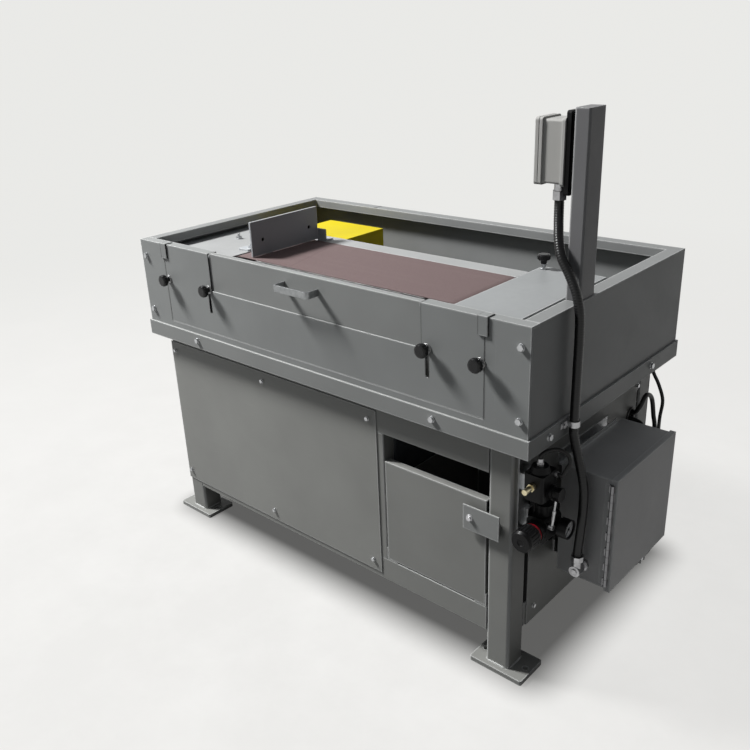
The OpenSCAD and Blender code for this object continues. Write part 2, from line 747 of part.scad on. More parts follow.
module platen() {
  color([0.55, 0.56, 0.57])
  along_y(belt_y0 - 2, belt_y1 + 4) polygon([[-platen_x, platen_z - platen_t], [platen_x, platen_z - platen_t],
    [platen_x, platen_z - 2], [platen_x - 6, platen_z], [-platen_x + 6, platen_z], [-platen_x, platen_z - 2]]);
}

module abrasive_belt() {
  color([0.4, 0.27, 0.26])
  translate([0, 0, drum_z]) along_y(belt_y0, belt_y1) difference() {
    stadium(2 * drum_x, drum_r + belt_gap + belt_t);
    stadium(2 * drum_x, drum_r + belt_gap);
  }
}

// A drum with a slight crown, end discs set in from the face, and its shaft; built along +Y
module drum(y0, y1) {
  w = drum_face / 2;
  to_back() {
    rotate_extrude($fn = 96) polygon([[shaft_d / 2 - 1, -w + 14], [drum_r - 8, -w + 14], [drum_r - 8, -w], [drum_r - 0.6, -w],
      [drum_r, -w / 3], [drum_r, w / 3], [drum_r - 0.6, w], [drum_r - 8, w], [drum_r - 8, w - 14], [shaft_d / 2 - 1, w - 14]]);
    translate([0, 0, y0]) cylinder(d = shaft_d, h = y1 - y0);
  }
}

module drive_drum() {
  color([0.2, 0.2, 0.2])
  translate([-drum_x, belt_y, drum_z]) drum(-bearing_off - 26, drive_y - belt_y + 32);
}

module idler_drum() {
  color([0.6, 0.61, 0.62])
  translate([drum_x, belt_y, drum_z]) drum(-bearing_off - 26, bearing_off + 26);
}

// A cast pillow block: foot with two bolts, round housing, bore along Y
module pillow_block() {
  translate([0, -bearing_w / 2, 0]) to_back() mirror([0, 1, 0]) linear_extrude(bearing_w) difference() {
    union() {
      translate([-66, -bearing_h]) square([132, 14]);
      circle(d = 68);
      translate([-30, -bearing_h]) square([60, bearing_h]);
    }
    circle(d = shaft_d + 2 * run);
  }
  for (s = [-1, 1]) translate([s * 50, 0, -bearing_h + 14]) hex_bolt(10, 0);
}

module drive_bearings() {
  color([0.25, 0.3, 0.34])
  for (s = [-1, 1]) translate([-drum_x, belt_y + s * bearing_off, drum_z]) pillow_block();
}

module idler_bearings() {
  color([0.25, 0.3, 0.34])
  for (s = [-1, 1]) translate([drum_x, belt_y + s * bearing_off, drum_z]) pillow_block();
}

track_z = bearing_z + 14;

module idler_carriage() {
  color([0.5, 0.51, 0.52]) {
    for (s = [-1, 1]) translate([0, belt_y + s * slide_y, 0]) {
      slab([carriage_x0, -block_w / 2, carriage_z], [carriage_x1, block_w / 2, bearing_z]);
      along_x(drum_x - 45, drum_x + 45) difference() {
        translate([-block_w / 2, carriage_z - block_h]) square([block_w, block_h]);
        translate([-rail_s / 2 - gap, carriage_z - block_h - 1]) square([rail_s + 2 * gap, block_h + 1]);
      }
    }
    slab([yoke_x0, belt_y - slide_y + block_w / 2, ram_z - 24],
      [yoke_x0 + yoke_t, belt_y + slide_y - block_w / 2, yoke_z1]);
    translate([ram_x0 + tension_travel + 8, belt_y, ram_z]) to_right()
      cylinder(d = rod_d, h = yoke_x0 - ram_x0 - tension_travel - 8);
    difference() {
      slab([carriage_x1 - 12, belt_y - bearing_off - 18, bearing_z], [carriage_x1, belt_y - bearing_off + 18, track_z + 16]);
      translate([carriage_x1 - 20, belt_y - bearing_off, track_z]) to_right() cylinder(d = 10 + 2 * run, h = 30);
    }
  }
}

module tracking_knob() {
  color([0.06, 0.06, 0.06])
  translate([carriage_x1 + gap, belt_y - bearing_off, track_z]) to_right() clamp_knob(26, 18, 10, 13);
}

post_hole_y = ledge_y1 + 38;
cover_knob_x = cover_x + 16;

module stands() {
  color([0.4, 0.41, 0.4]) {
    for (s = [-1, 1]) translate([-drum_x, belt_y + s * bearing_off, deck_z]) linear_extrude(bearing_z - deck_z)
      hollow(134, 46, 5, 4);
    for (s = [-1, 1]) {
      along_x(carriage_x0 - 10, carriage_x1 + 10) translate([belt_y + s * slide_y, (deck_z + slide_z) / 2])
        hollow(rail_s + 10, slide_z - deck_z, 5, 3);
      slab([carriage_x0 - 10, belt_y + s * slide_y - rail_s / 2, slide_z],
        [carriage_x1 + 10, belt_y + s * slide_y + rail_s / 2, slide_z + rail_h]);
    }
    difference() {
      translate([cover_knob_x, post_hole_y, deck_z]) cylinder(d = 26, h = belt_z - cover_t - gap - deck_z);
      translate([cover_knob_x, post_hole_y, belt_z - 45]) cylinder(d = 10 + 2 * run, h = 60);
    }
    // Gusseted bracket for the tension cylinder
    slab([ram_x0 - 12, belt_y - 36, deck_z], [ram_x0, belt_y + 36, ram_z + ram_s / 2]);
    along_y(belt_y - 6, belt_y + 6) polygon([[ram_x0 - 12, deck_z], [ram_x0 - 82, deck_z], [ram_x0 - 12, ram_z]]);
  }
}

module tension_cylinder() {
  color([0.7, 0.71, 0.73])
  translate([0, belt_y, ram_z]) difference() {
    union() {
      translate([ram_x0, 0, 0]) to_right() cylinder(d = ram_s - 6, h = ram_x1 - ram_x0);
      translate([ram_x0, 0, 0]) to_right() linear_extrude(12) rounded(ram_s, ram_s, 8);
      translate([ram_x1 - 12, 0, 0]) to_right() linear_extrude(12) rounded(ram_s, ram_s, 8);
    }
    translate([ram_x0 + 6, 0, 0]) to_right() cylinder(d = rod_d + 2 * run, h = 100);
  }
}

module fixed_covers() {
  color([0.6, 0.62, 0.63]) {
    // Left end cover, a hood that stands on the tray
    along_x(-tx + wall_t + 8, -cover_x) {
      translate([belt_y - bearing_off - 46, belt_z - cover_t]) square([2 * bearing_off + 78, cover_t]);
      for (y = [belt_y - bearing_off - 46, belt_y + bearing_off + 30]) translate([y, deck_z]) square([2, belt_z - deck_z]);
    }
    // Rear ledge level with the platen
    along_x(-cover_x + 4, cover_x - 4) polygon([[ledge_y0, platen_z - cover_t], [ledge_y1 - 2, platen_z - cover_t],
      [ledge_y1 - 2, platen_z - 28], [ledge_y1, platen_z - 28], [ledge_y1, platen_z], [ledge_y0, platen_z]]);
  }
}

cover_x1 = tx - 98;
cover_y0 = belt_y - bearing_off - 40;
cover_y1 = ledge_y1 + 60;

module cover_right() {
  color([0.6, 0.62, 0.63])
  difference() {
    union() {
      slab([cover_x, cover_y0, belt_z - cover_t], [cover_x1, cover_y1, belt_z]);
      slab([cover_x1 - 2, cover_y0, deck_z + gap], [cover_x1, cover_y1, belt_z]);
      slab([cover_x, cover_y1 - 2, belt_z - 40], [cover_x1, cover_y1, belt_z]);
    }
    translate([cover_knob_x, post_hole_y, belt_z]) cylinder(d = 10 + 2 * run, h = 20, center = true);
  }
}

module cover_knob() {
  color([0.06, 0.06, 0.06])
  translate([cover_knob_x, post_hole_y, belt_z + gap]) {
    translate([0, 0, 12]) clamp_knob(knob_d, knob_h, 10, 46);
    cylinder(d = 18, h = 3);
  }
}

stop_t = 6;
stop_x = -drum_x + 47;
stop_gap = 2;

module work_stop() {
  color([0.3, 0.31, 0.32]) {
    difference() {
      slab([stop_x - stop_t, belt_y0 + 9, belt_z + stop_gap], [stop_x, belt_y1 + 10, belt_z + stop_gap + 97]);
      for (y = [belt_y0 + 50, belt_y1 - 25]) translate([stop_x, y, belt_z + 44]) to_right() cylinder(d = 11, h = 30, center = true);
    }
    for (y = [belt_y0 + 64, belt_y1 - 40]) {
      slab([-cover_x - 44, y - 16, belt_z], [-cover_x - 4, y + 16, belt_z + 5]);
      along_y(y - 3, y + 3) polygon([[stop_x - stop_t, belt_z + stop_gap], [stop_x - stop_t, belt_z + 88],
        [-cover_x - 20, belt_z + 5], [-cover_x - 4, belt_z + 5], [-cover_x - 4, belt_z + stop_gap]]);
    }
    slab([stop_x - 2, belt_y1 + 10, belt_z + stop_gap], [stop_x + 32, belt_y1 + 14, belt_z + 34]);
    slab([stop_x - 2, belt_y1 + 10, platen_z], [stop_x + 32, belt_y1 + 40, platen_z + 4]);
    slab([stop_x - 2, belt_y1 + 10, platen_z], [stop_x + 32, belt_y1 + 14, belt_z + stop_gap]);
  }
}

// Belt drive

module drive_guard() {
  color([0.95, 0.83, 0.05])
  difference() {
    slab([motor_x - guard_w / 2, guard_y0, deck_z], [motor_x + guard_w / 2, guard_y1, platen_z]);
    slab([motor_x - guard_w / 2 + guard_t, guard_y0 + guard_t, deck_z - 1],
      [motor_x + guard_w / 2 - guard_t, guard_y1 - guard_t, platen_z - guard_t]);
    translate([motor_x, guard_y0, drum_z]) to_back() cylinder(d = shaft_d + 20, h = 20, center = true);
  }
}

// A two-groove V pulley along +Y, its middle at y = 0
module v_pulley(d, bore) {
  w = groove_pitch + 26;
  to_back() rotate_extrude($fn = 96) polygon(concat(
    [[bore / 2, -w / 2], [d / 2, -w / 2]],
    [for (s = [-0.5, 0.5]) each [[d / 2, s * groove_pitch - groove_w / 2 - 2.5], [d / 2 - groove_deep, s * groove_pitch - groove_w / 2],
      [d / 2 - groove_deep, s * groove_pitch + groove_w / 2], [d / 2, s * groove_pitch + groove_w / 2 + 2.5]]],
    [[d / 2, w / 2], [bore / 2, w / 2]]));
}

module drum_pulley() {
  color([0.3, 0.31, 0.32])
  translate([motor_x, drive_y, drum_z]) v_pulley(pulley_d, shaft_d + 2 * run);
}

module motor_pulley() {
  color([0.3, 0.31, 0.32])
  translate([motor_x, drive_y, motor_z]) {
    v_pulley(motor_pulley_d, motor_shaft_d - 1);
    translate([0, motor_y1 - 40 - drive_y, 0]) to_back() cylinder(d = motor_shaft_d, h = drive_y + 26 - motor_y1 + 40);
  }
}

// A belt outline round two pulleys one above the other: r1 at the top, r2 at the bottom
function belt_outline(r1, r2, c) = let (a = asin((r2 - r1) / c)) concat(
  [for (i = [0 : 20]) let (t = a + i * (180 - 2 * a) / 20) [r1 * cos(t), c + r1 * sin(t)]],
  [for (i = [0 : 28]) let (t = 180 - a + i * (180 + 2 * a) / 28) [r2 * cos(t), r2 * sin(t)]]);

module v_belts() {
  r1 = pulley_d / 2 - groove_deep + 2;
  r2 = motor_pulley_d / 2 - groove_deep + 2;
  color([0.07, 0.07, 0.07])
  for (s = [-0.5, 0.5]) translate([motor_x, 0, motor_z])
    along_y(drive_y + s * groove_pitch - vbelt_w / 2, drive_y + s * groove_pitch + vbelt_w / 2) difference() {
      polygon(belt_outline(r1 + vbelt_t, r2 + vbelt_t, drum_z - motor_z));
      polygon(belt_outline(r1, r2, drum_z - motor_z));
    }
}

module motor() {
  y0 = motor_y1 - motor_len;
  color([0.3, 0.33, 0.36])
  difference() {
    union() {
      translate([motor_x, 0, motor_z]) {
        along_y(y0 + 70, motor_y1 - 45) {
          circle(d = motor_d - 18, $fn = 96);
          for (i = [0 : 27]) rotate(i * 360 / 28) translate([-1.5, 0]) square([3, motor_d / 2]);
        }
        translate([0, motor_y1 - 45, 0]) to_back() cylinder(d1 = motor_d, d2 = motor_d - 60, h = 35, $fn = 96);
        translate([0, motor_y1 - 10, 0]) to_back() cylinder(d = 70, h = 10);
        translate([0, y0, 0]) to_back() cylinder(d = motor_d - 4, h = 70, $fn = 96);
        slab([motor_d / 2 - 14, motor_y1 - 210, -40], [motor_d / 2 + 44, motor_y1 - 110, 40]);
      }
      for (s = [-1, 1]) slab([motor_x + s * 85 - 22, motor_y1 - 245, low_top + mount_t],
        [motor_x + s * 85 + 22, motor_y1 - 75, low_top + mount_t + 12]);
      for (s = [-1, 1]) slab([motor_x + s * 78 - 6, motor_y1 - 245, low_top + mount_t + 12],
        [motor_x + s * 78 + 6, motor_y1 - 75, motor_z - 55]);
    }
    translate([motor_x, motor_y1 - 45, motor_z]) to_back() cylinder(d = motor_shaft_d + 2 * run, h = 60);
    for (x = motor_bars, y = motor_foot_y) translate([x, y, low_top]) cylinder(d = 11, h = mount_t + 13);
  }
}

// Post and push-button station

module post() {
  color([0.33, 0.34, 0.34])
  translate([post_x0 + post_w / 2, post_y, 0]) {
    translate([0, 0, post_low]) linear_extrude(post_top - post_low - 3) hollow(post_w, post_d, 3, 5);
    translate([0, 0, post_top - 3]) linear_extrude(3) rounded(post_w, post_d, 5);
  }
}

module station_back() {
  color([0.08, 0.08, 0.08])
  translate([0, post_y, station_zc - 2]) {
    along_x(station_x1, post_x0 - 6) rounded(post_d, back_h, 6);
    along_x(post_x0 - 6, post_x0) rounded(post_d - 14, back_h - 14, 4);
  }
}

module station_box() {
  color([0.55, 0.55, 0.53])
  difference() {
    translate([0, post_y, station_zc]) {
      along_x(station_x0, station_x1) rounded(station_w - 7, station_h - 7, 5);
      for (x = [station_x0, station_x1 - flange_t]) along_x(x, x + flange_t) rounded(station_w, station_h, 6);
      along_x(station_x0 - lid_gap, station_x0) rounded(station_w - 10, station_h - 10, 4);
      along_x(station_x0 - lid_gap - lid_d, station_x0 - lid_gap) rounded(station_w, station_h, 6);
      for (z = [start_z, stop_z]) translate([button_x, 0, z - station_zc]) to_right() cylinder(d = 32, h = bezel_t);
    }
    for (z = [start_z, stop_z]) translate([station_x0 - 50, post_y, z]) to_right() cylinder(d = 23, h = 76);
    translate([gland_x, post_y, station_zc - station_h / 2 - 1]) cylinder(d = 20, h = 12);
  }
}

bezel_t = 2;
button_x = station_x0 - lid_gap - lid_d - bezel_t;
button_d = 22.4;

module start_button() {
  color([0.1, 0.4, 0.15])
  translate([button_x, post_y, start_z]) to_right() cylinder(d = button_d, h = 22);
}

module stop_button() {
  color([0.7, 0.05, 0.05])
  translate([button_x - 2, post_y, stop_z]) to_right() {
    cylinder(d1 = button_d - 3, d2 = button_d, h = 1.5);
    translate([0, 0, 1.5]) cylinder(d = button_d, h = 22.5);
  }
}

// Conduit, cables and their fittings

module conduit() {
  color([0.08, 0.08, 0.08])
  swept(conduit_route, conduit_d, [0, 1, 0]);
}

gland_low = station_zc - station_h / 2 - 14;
elbow_mid = elbow_z - 40;

module fittings() {
  color([0.75, 0.76, 0.77]) {
    // Straight connector under the push-button box
    translate([gland_x, post_y, 0]) {
      translate([0, 0, gland_low + 14]) cylinder(d = 19, h = 8);
      translate([0, 0, gland_low]) cylinder(d = 24, h = 14);
      translate([0, 0, gland_z + gap]) cylinder(d = 32, h = gland_low - gland_z - gap, $fn = 6);
    }
    // Elbow into the side of the enclosure
    translate([elbow_x, elbow_y, 0]) {
      translate([0, 0, elbow_z - 14]) cylinder(d = 30, h = 14 - gap, $fn = 8);
      translate([0, 0, elbow_mid]) cylinder(d = 23, h = 26);
      translate([0, 13, elbow_mid]) to_front() cylinder(d = 27, h = 25);
      translate([0, -12, elbow_mid]) to_front() cylinder(d = 15, h = 2.5, $fn = 6);
      translate([0, 0, elbow_mid]) to_back() cylinder(d = 22, h = enc_y0 - elbow_y);
      translate([0, enc_y0 - elbow_y - 8, elbow_mid]) to_back() cylinder(d = 32, h = 8, $fn = 8);
    }
    // Strap on the tray lip
    translate([0, elbow_y, strap_z - 7]) linear_extrude(14) difference() {
      union() {
        translate([strap_x, 0]) circle(d = conduit_d + 5);
        translate([tx + tray_t, -34]) square([3, 44]);
        translate([tx + tray_t, -12]) square([strap_x - tx - tray_t, 24]);
      }
      translate([strap_x, 0]) circle(d = conduit_d + 1.2);
      translate([tx + tray_t - 20, -40]) square([20, 80]);
    }
    translate([tx + tray_t + 3, elbow_y - 25, strap_z]) to_right() hex_bolt(6, 0);
    // Cable glands on the back face of the enclosure
    for (k = [0 : 2]) translate(glands[k]) to_back() difference() {
      union() {
        cylinder(d = cable_d[k] + 12, h = 6, $fn = 6);
        cylinder(d = cable_d[k] + 7, h = 18);
      }
      translate([0, 0, -1]) cylinder(d = cable_d[k] + 1.6, h = 40);
    }
    // Valve fittings, and the bright pipe from the valve's port to the regulator
    translate([air_x, air_y - 2, valve_z + 46]) {
      cylinder(d = 17, h = 7, $fn = 6);
      translate([0, 0, 7]) cylinder(d = 13, h = 9);
    }
    translate(loop_end) to_right() cylinder(d = 13, h = 6);
    rod(pipe_top, pipe_low, 5);
    rod(between(pipe_top, pipe_low, 0.4), pipe_low, 8);
    translate([air_x + 26, air_y + 2, reg_z + 14]) to_right() cylinder(d = 13, h = 11);
  }
}

module cables() {
  color([0.06, 0.06, 0.06])
  {
    for (k = [0 : 2]) swept(cable_routes[k], cable_d[k], cable_ref[k], 2, 8);
    translate(grommet) to_right() difference() {
      cylinder(d = grommet_d + 6, h = 4);
      translate([0, 0, -1]) cylinder(d = grommet_d - 6, h = 6);
    }
  }
}

// Electrical enclosure

module hinge_knuckles(odd) {
  n = 13;
  h = (enc_h - 20) / n;
  for (i = [0 : n - 1]) if (i % 2 == odd) translate([hinge_x, hinge_y, enc_z0 + 10 + i * h + gap / 2]) cylinder(d = hinge_d, h = h - gap, $fn = 24);
}

module hinge_leaf(odd, y1, x0, x1) {
  n = 13;
  h = (enc_h - 20) / n;
  for (i = [0 : n - 1]) if (i % 2 == odd) slab([x0, hinge_y, enc_z0 + 10 + i * h + gap / 2], [x1, y1, enc_z0 + 10 + (i + 1) * h - gap / 2]);
}

module enclosure() {
  color([0.36, 0.37, 0.36]) {
    difference() {
      slab([enc_x0, enc_y0, enc_z0], [enc_x1, enc_y1, enc_z1]);
      slab([enc_x0 + enc_t, enc_y0 + enc_t, enc_z0 + enc_t], [enc_x1 + 1, enc_y1 - enc_t, enc_z1 - enc_t]);
      translate([elbow_x, enc_y0, elbow_mid]) to_back() cylinder(d = 20, h = 20, center = true);
      for (k = [0 : 2]) translate(glands[k]) to_back() cylinder(d = cable_d[k] + 1.6, h = 20, center = true);
    }
    slab([enc_x1 - 14, enc_y0 - 2, enc_z0 + 10], [enc_x1 - 1, enc_y0, enc_z1 - 10]);
    hinge_knuckles(0);
    hinge_leaf(0, enc_y0, enc_x1 - 4, enc_x1);
    hinge_leaf(0, hinge_y + 2, enc_x1 - 1, enc_x1 + 1);
  }
}

door_x0 = enc_x1 + gap;
door_x1 = door_x0 + door_t;
door_y0 = enc_y0 - door_lap + 1;
door_y1 = enc_y1 + door_lap;
door_z0 = enc_z0 - 6;
door_z1 = enc_z1 + 3;

module enclosure_door() {
  color([0.36, 0.36, 0.36])
  difference() {
    union() {
      difference() {
        slab([door_x0, door_y0, door_z0], [door_x1, door_y1, door_z1]);
        slab([door_x0 - 1, door_y0 + 2, door_z0 + 2], [door_x1 - 2, door_y1 - 2, door_z1 - 2]);
      }
      hinge_knuckles(1);
      hinge_leaf(1, door_y0 + 1, hinge_x, hinge_x + 3);
    }
    for (i = [0 : 2 : 12]) translate([hinge_x, hinge_y, enc_z0 + 10 + i * (enc_h - 20) / 13 - gap])
      cylinder(d = hinge_d + 1.2, h = (enc_h - 20) / 13 + 2 * gap, $fn = 24);
  }
  // Two ears under the lower edge carry the latch
  color([0.36, 0.36, 0.36])
  for (s = [0, 1]) mirror([0, s, 0]) along_y(latch_w / 2 + gap + (s ? -latch_y : latch_y), latch_w / 2 + gap + 3 + (s ? -latch_y : latch_y))
    difference() {
      translate([latch_x - 6, latch_z - 6]) square([12, door_z0 - latch_z + 6]);
      translate([latch_x, latch_z]) circle(d = 5 + 2 * run);
    }
}

latch_x = door_x0 + 7;
latch_z = door_z0 - 8;
latch_w = 16;

module door_latch() {
  // Lever on a pin under the door, its hook just under the box
  color([0.65, 0.66, 0.67]) {
    along_y(latch_y - latch_w / 2, latch_y + latch_w / 2) {
      translate([latch_x, latch_z]) circle(d = 9);
      translate([latch_x - 26, latch_z - 2.5]) square([26, 5]);
      translate([latch_x - 26, latch_z - 2.5]) square([6, enc_z0 - gap - latch_z + 2.5]);
    }
    along_y(latch_y - latch_w / 2 - 5, latch_y + latch_w / 2 + 5) translate([latch_x, latch_z]) circle(d = 5);
  }
}

module starter() {
  x0 = enc_x0 + enc_t;
  zc = (enc_z0 + enc_z1) / 2;
  color([0.8, 0.8, 0.76]) {
    slab([x0, enc_y0 + 20, enc_z0 + 20], [x0 + 3, enc_y1 - 20, enc_z1 - 20]);
    // Motor contactor with its overload relay
    slab([x0 + 3, enc_yc - 70, zc + 10], [x0 + 78, enc_yc + 5, zc + 90]);
    slab([x0 + 78, enc_yc - 58, zc + 22], [x0 + 92, enc_yc - 7, zc + 78]);
    slab([x0 + 3, enc_yc - 66, zc - 42], [x0 + 66, enc_yc + 1, zc + 10]);
    // Control transformer and terminal strip
    slab([x0 + 3, enc_yc + 30, zc + 14], [x0 + 63, enc_yc + 96, zc + 84]);
    for (i = [0 : 7]) slab([x0 + 3, enc_yc - 70 + i * 19, zc - 96], [x0 + 33, enc_yc - 54 + i * 19, zc - 66]);
  }
}

module mount_bars() {
  color([0.62, 0.63, 0.64]) {
    // Bars that carry the enclosure on the side of the stand
    for (z = [enc_z1 - bar_h + 10, enc_z0 + 20]) along_y(enc_yc - 118, enc_yc + 118) translate([bx, z]) difference() {
      square([bar_d, bar_h]);
      translate([3, 3]) square([bar_d - 6, bar_h]);
    }
    // Plate on the leg with the two blocks that hold the air unit
    slab([bx, air_y - 28, reg_z - 20], [bx + 4, air_y + 18, valve_z + 62]);
    slab([bx + 4, air_y - 18, valve_z - 20], [air_x - 24, air_y + 12, valve_z + 20]);
    slab([bx + 4, air_y - 2, reg_z - 5], [air_x - 26, air_y + 18, reg_z + 40]);
  }
}

// Air unit

module air_valve() {
  color([0.05, 0.05, 0.05])
  translate([air_x, air_y, valve_z]) {
    translate([0, 0, -32]) linear_extrude(64) rounded(48, 60, 7);
    translate([0, -2, 32]) cylinder(d1 = 46, d2 = 36, h = 14);
    translate([24, 4, -14]) to_right() {
      cylinder(d = 34, h = 10);
      translate([0, 0, 10]) cylinder(d = 28, h = 9);
      translate([0, 0, 19]) cylinder(d = 34, h = 9, $fn = 8);
    }
  }
}

module air_regulator() {
  color([0.05, 0.05, 0.05])
  translate([air_x, 0, reg_z]) difference() {
    union() {
      along_y(reg_y0, reg_y1) rounded(52, 60, 14);
      translate([0, reg_y0 - 14, 0]) to_back() cylinder(d = 50, h = 14);
      translate([0, reg_y0 + 30, 30]) cylinder(d = 40, h = 26);
      translate([0, reg_y0 + 30, -42]) cylinder(d1 = 18, d2 = 44, h = 12);
    }
    translate([0, reg_y0 - 15, 0]) to_back() cylinder(d = reg_stem_d + 2 * run, h = 20);
  }
}

reg_stem_d = 12;

module regulator_ring() {
  color([0.6, 0.05, 0.08])
  translate([air_x, reg_y0 - 20, reg_z]) to_back() difference() {
    cylinder(d = 46, h = 6);
    translate([0, 0, -1]) cylinder(d = 20, h = 8);
  }
}

module regulator_knob() {
  y1 = reg_y0 - 20 - gap;
  color([0.05, 0.05, 0.05])
  translate([air_x, y1, reg_z]) to_front() {
    difference() {
      rotate_extrude() polygon([[0, 0], [reg_knob_d / 2 - 2, 0], [reg_knob_d / 2, 3], [reg_knob_d / 2, reg_knob_l - 6],
        [reg_knob_d / 2 - 4, reg_knob_l], [9, reg_knob_l], [7, reg_knob_l - 2], [0, reg_knob_l - 2]]);
      for (i = [0 : 17]) rotate(i * 20) translate([reg_knob_d / 2 + 1.2, 0, 8]) cylinder(d = 5, h = reg_knob_l - 20, $fn = 16);
    }
    translate([0, 0, -19]) cylinder(d = reg_stem_d, h = 19);
  }
}

dial_x = gauge_x0 + 17;

module air_gauge() {
  color([0.08, 0.08, 0.08])
  translate([0, gauge_y, reg_z + 2]) {
    translate([air_x + 26, 0, 0]) to_right() cylinder(d = 13, h = gauge_x0 - air_x - 26);
    translate([gauge_x0, 0, 0]) difference() {
      to_right() cylinder(d = gauge_d, h = 22);
      translate([17, 0, 0]) to_right() cylinder(d = gauge_d - 6, h = 10);
    }
    translate([dial_x, 0, 0]) to_right() cylinder(d = 3, h = 3);
  }
}

module gauge_needle() {
  color([0.02, 0.02, 0.02])
  translate([dial_x + 1, gauge_y, reg_z + 2]) to_right() linear_extrude(0.8) difference() {
    union() {
      circle(d = 6);
      rotate(-45) polygon([[-5, -1.2], [gauge_d / 2 - 6, -0.3], [gauge_d / 2 - 6, 0.3], [-5, 1.2]]);
    }
    circle(d = 3.2);
  }
}

loop_end = [air_x + 24, air_y + 22, valve_z + 22];
pipe_top = [air_x + 38.5, air_y + 4, valve_z - 14 - 14 - 1];
pipe_low = [air_x + 32, air_y + 2, reg_z + 16];
loop_start = [air_x, air_y - 2, valve_z + 62 + gap];
air_loop = concat([for (o = [[0, 0, 0], [0, 0, 5], [7, 8, 14], [23, 26, 17], [42, 38, 7], [50, 38, -10], [46, 32, -24]]) loop_start + o],
  [for (o = [[16, 1, 0], [11, 0, 0], [6 + gap, 0, 0]]) loop_end + o]);

module air_tubes() {
  color([0.05, 0.05, 0.05])
  swept(air_loop, 9, [-0.66, 0.75, 0], 2, 8);
}

module air_fittings() {
  color([0.76, 0.62, 0.3]) {
    // Supply nipple
    translate([air_x, air_y - 30, valve_z + 6]) to_front() {
      cylinder(d = 19, h = 10, $fn = 6);
      translate([0, 0, 10]) cylinder(d = 13, h = 24);
    }
    // Nipple between valve and regulator
    translate([air_x, reg_y0 + 28, reg_z + 56]) cylinder(d = 16, h = valve_z - 32 - reg_z - 56);
  }
}

legs();
rails();
cross_members();
front_panel();
base_panels();
dust_bin();
bin_runners();
bin_catch();
tray();
tub_walls();
front_frame();
access_panel();
bolts();
gate();
gate_handle();
gate_knob_left();
gate_knob_right();
panel_knob_left();
panel_knob_right();
bed_frame();
platen();
abrasive_belt();
drive_drum();
idler_drum();
drive_bearings();
idler_bearings();
idler_carriage();
stands();
tension_cylinder();
tracking_knob();
fixed_covers();
cover_right();
cover_knob();
work_stop();
drive_guard();
drum_pulley();
motor();
motor_pulley();
v_belts();
post();
station_box();
station_back();
start_button();
stop_button();
conduit();
fittings();
enclosure();
enclosure_door();
door_latch();
starter();
cables();
mount_bars();
air_valve();
air_regulator();
regulator_ring();
regulator_knob();
air_gauge();
gauge_needle();
air_tubes();
air_fittings();
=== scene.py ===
import math

import bpy
import numpy as np
from mathutils import Matrix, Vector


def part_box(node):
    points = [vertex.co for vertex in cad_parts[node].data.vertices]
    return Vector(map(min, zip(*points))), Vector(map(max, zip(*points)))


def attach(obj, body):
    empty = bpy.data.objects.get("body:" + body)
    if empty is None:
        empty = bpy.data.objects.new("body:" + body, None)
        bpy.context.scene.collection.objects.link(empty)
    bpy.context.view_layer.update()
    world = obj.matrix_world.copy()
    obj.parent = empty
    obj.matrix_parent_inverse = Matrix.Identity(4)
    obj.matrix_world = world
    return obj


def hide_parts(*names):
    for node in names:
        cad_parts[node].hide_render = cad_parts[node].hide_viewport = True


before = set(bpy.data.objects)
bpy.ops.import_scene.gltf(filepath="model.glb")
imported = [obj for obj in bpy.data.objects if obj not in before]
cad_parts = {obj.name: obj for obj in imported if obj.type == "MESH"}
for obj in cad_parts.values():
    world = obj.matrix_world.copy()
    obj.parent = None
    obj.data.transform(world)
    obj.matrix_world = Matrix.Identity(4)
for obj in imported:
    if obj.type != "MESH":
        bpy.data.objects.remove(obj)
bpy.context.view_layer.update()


# The stand is square steel tube and folded sheet, welded, then sprayed in one mid grey satin enamel.
# The sheets are screwed over the openings. The spray leaves a faint orange peel, and corners and bends are
# paler:
# partly rubbed and partly a painted highlight on the corners, and a painted highlight alone on the bends.
class Wire:
    """One shader socket. Arithmetic with it adds Math nodes to the tree that it belongs to."""

    def __init__(self, nodes, socket):
        self.nodes = nodes
        self.socket = socket

    def _math(self, operation, a, b=0.0):
        return self.nodes.node("ShaderNodeMath", {"operation": operation}, {0: a, 1: b})

    def __add__(self, other):
        return self._math("ADD", self, other)

    def __sub__(self, other):
        return self._math("SUBTRACT", self, other)

    def __rsub__(self, other):
        return self._math("SUBTRACT", other, self)

    def __mul__(self, other):
        return self._math("MULTIPLY", self, other)

    def __abs__(self):
        return self._math("ABSOLUTE", self)

    __radd__ = __add__
    __rmul__ = __mul__


class Nodes:
    """A node tree: node() adds any node, with its settings and the values or wires of its sockets."""

    def __init__(self, tree):
        self.tree = tree

    def node(self, kind, settings=None, sockets=None, out=0):
        made = self.tree.nodes.new(kind)
        for key, value in (settings or {}).items():
            setattr(made, key, value)
        for key, value in (sockets or {}).items():
            if isinstance(value, Wire):
                self.tree.links.new(value.socket, made.inputs[key])
            else:
                made.inputs[key].default_value = value
        return Wire(self, made.outputs[out])

    def span(self, value, low, high, to_low=0.0, to_high=1.0, shape="LINEAR"):
        """Maps low..high to to_low..to_high, held at both ends."""
        ends = {0: value, 1: low, 2: high, 3: to_low, 4: to_high}
        return self.node("ShaderNodeMapRange", {"interpolation_type": shape}, ends)

    def mix(self, share, a, b):
        """A blend of two colours, or of a wire and a colour."""
        return self.node("ShaderNodeMix", {"data_type": "RGBA"}, {0: share, 6: a, 7: b}, 2)

    def vector(self, operation, a, b=(0, 0, 0)):
        """Vector Math on one or two vectors. A dot product or a length comes out as a value."""
        out = "Value" if operation in ("DOT_PRODUCT", "LENGTH") else "Vector"
        return self.node("ShaderNodeVectorMath", {"operation": operation}, {0: a, 1: b}, out)

    def part(self, vector, axis):
        """One component of a vector."""
        return self.node("ShaderNodeSeparateXYZ", None, {0: vector}, axis)


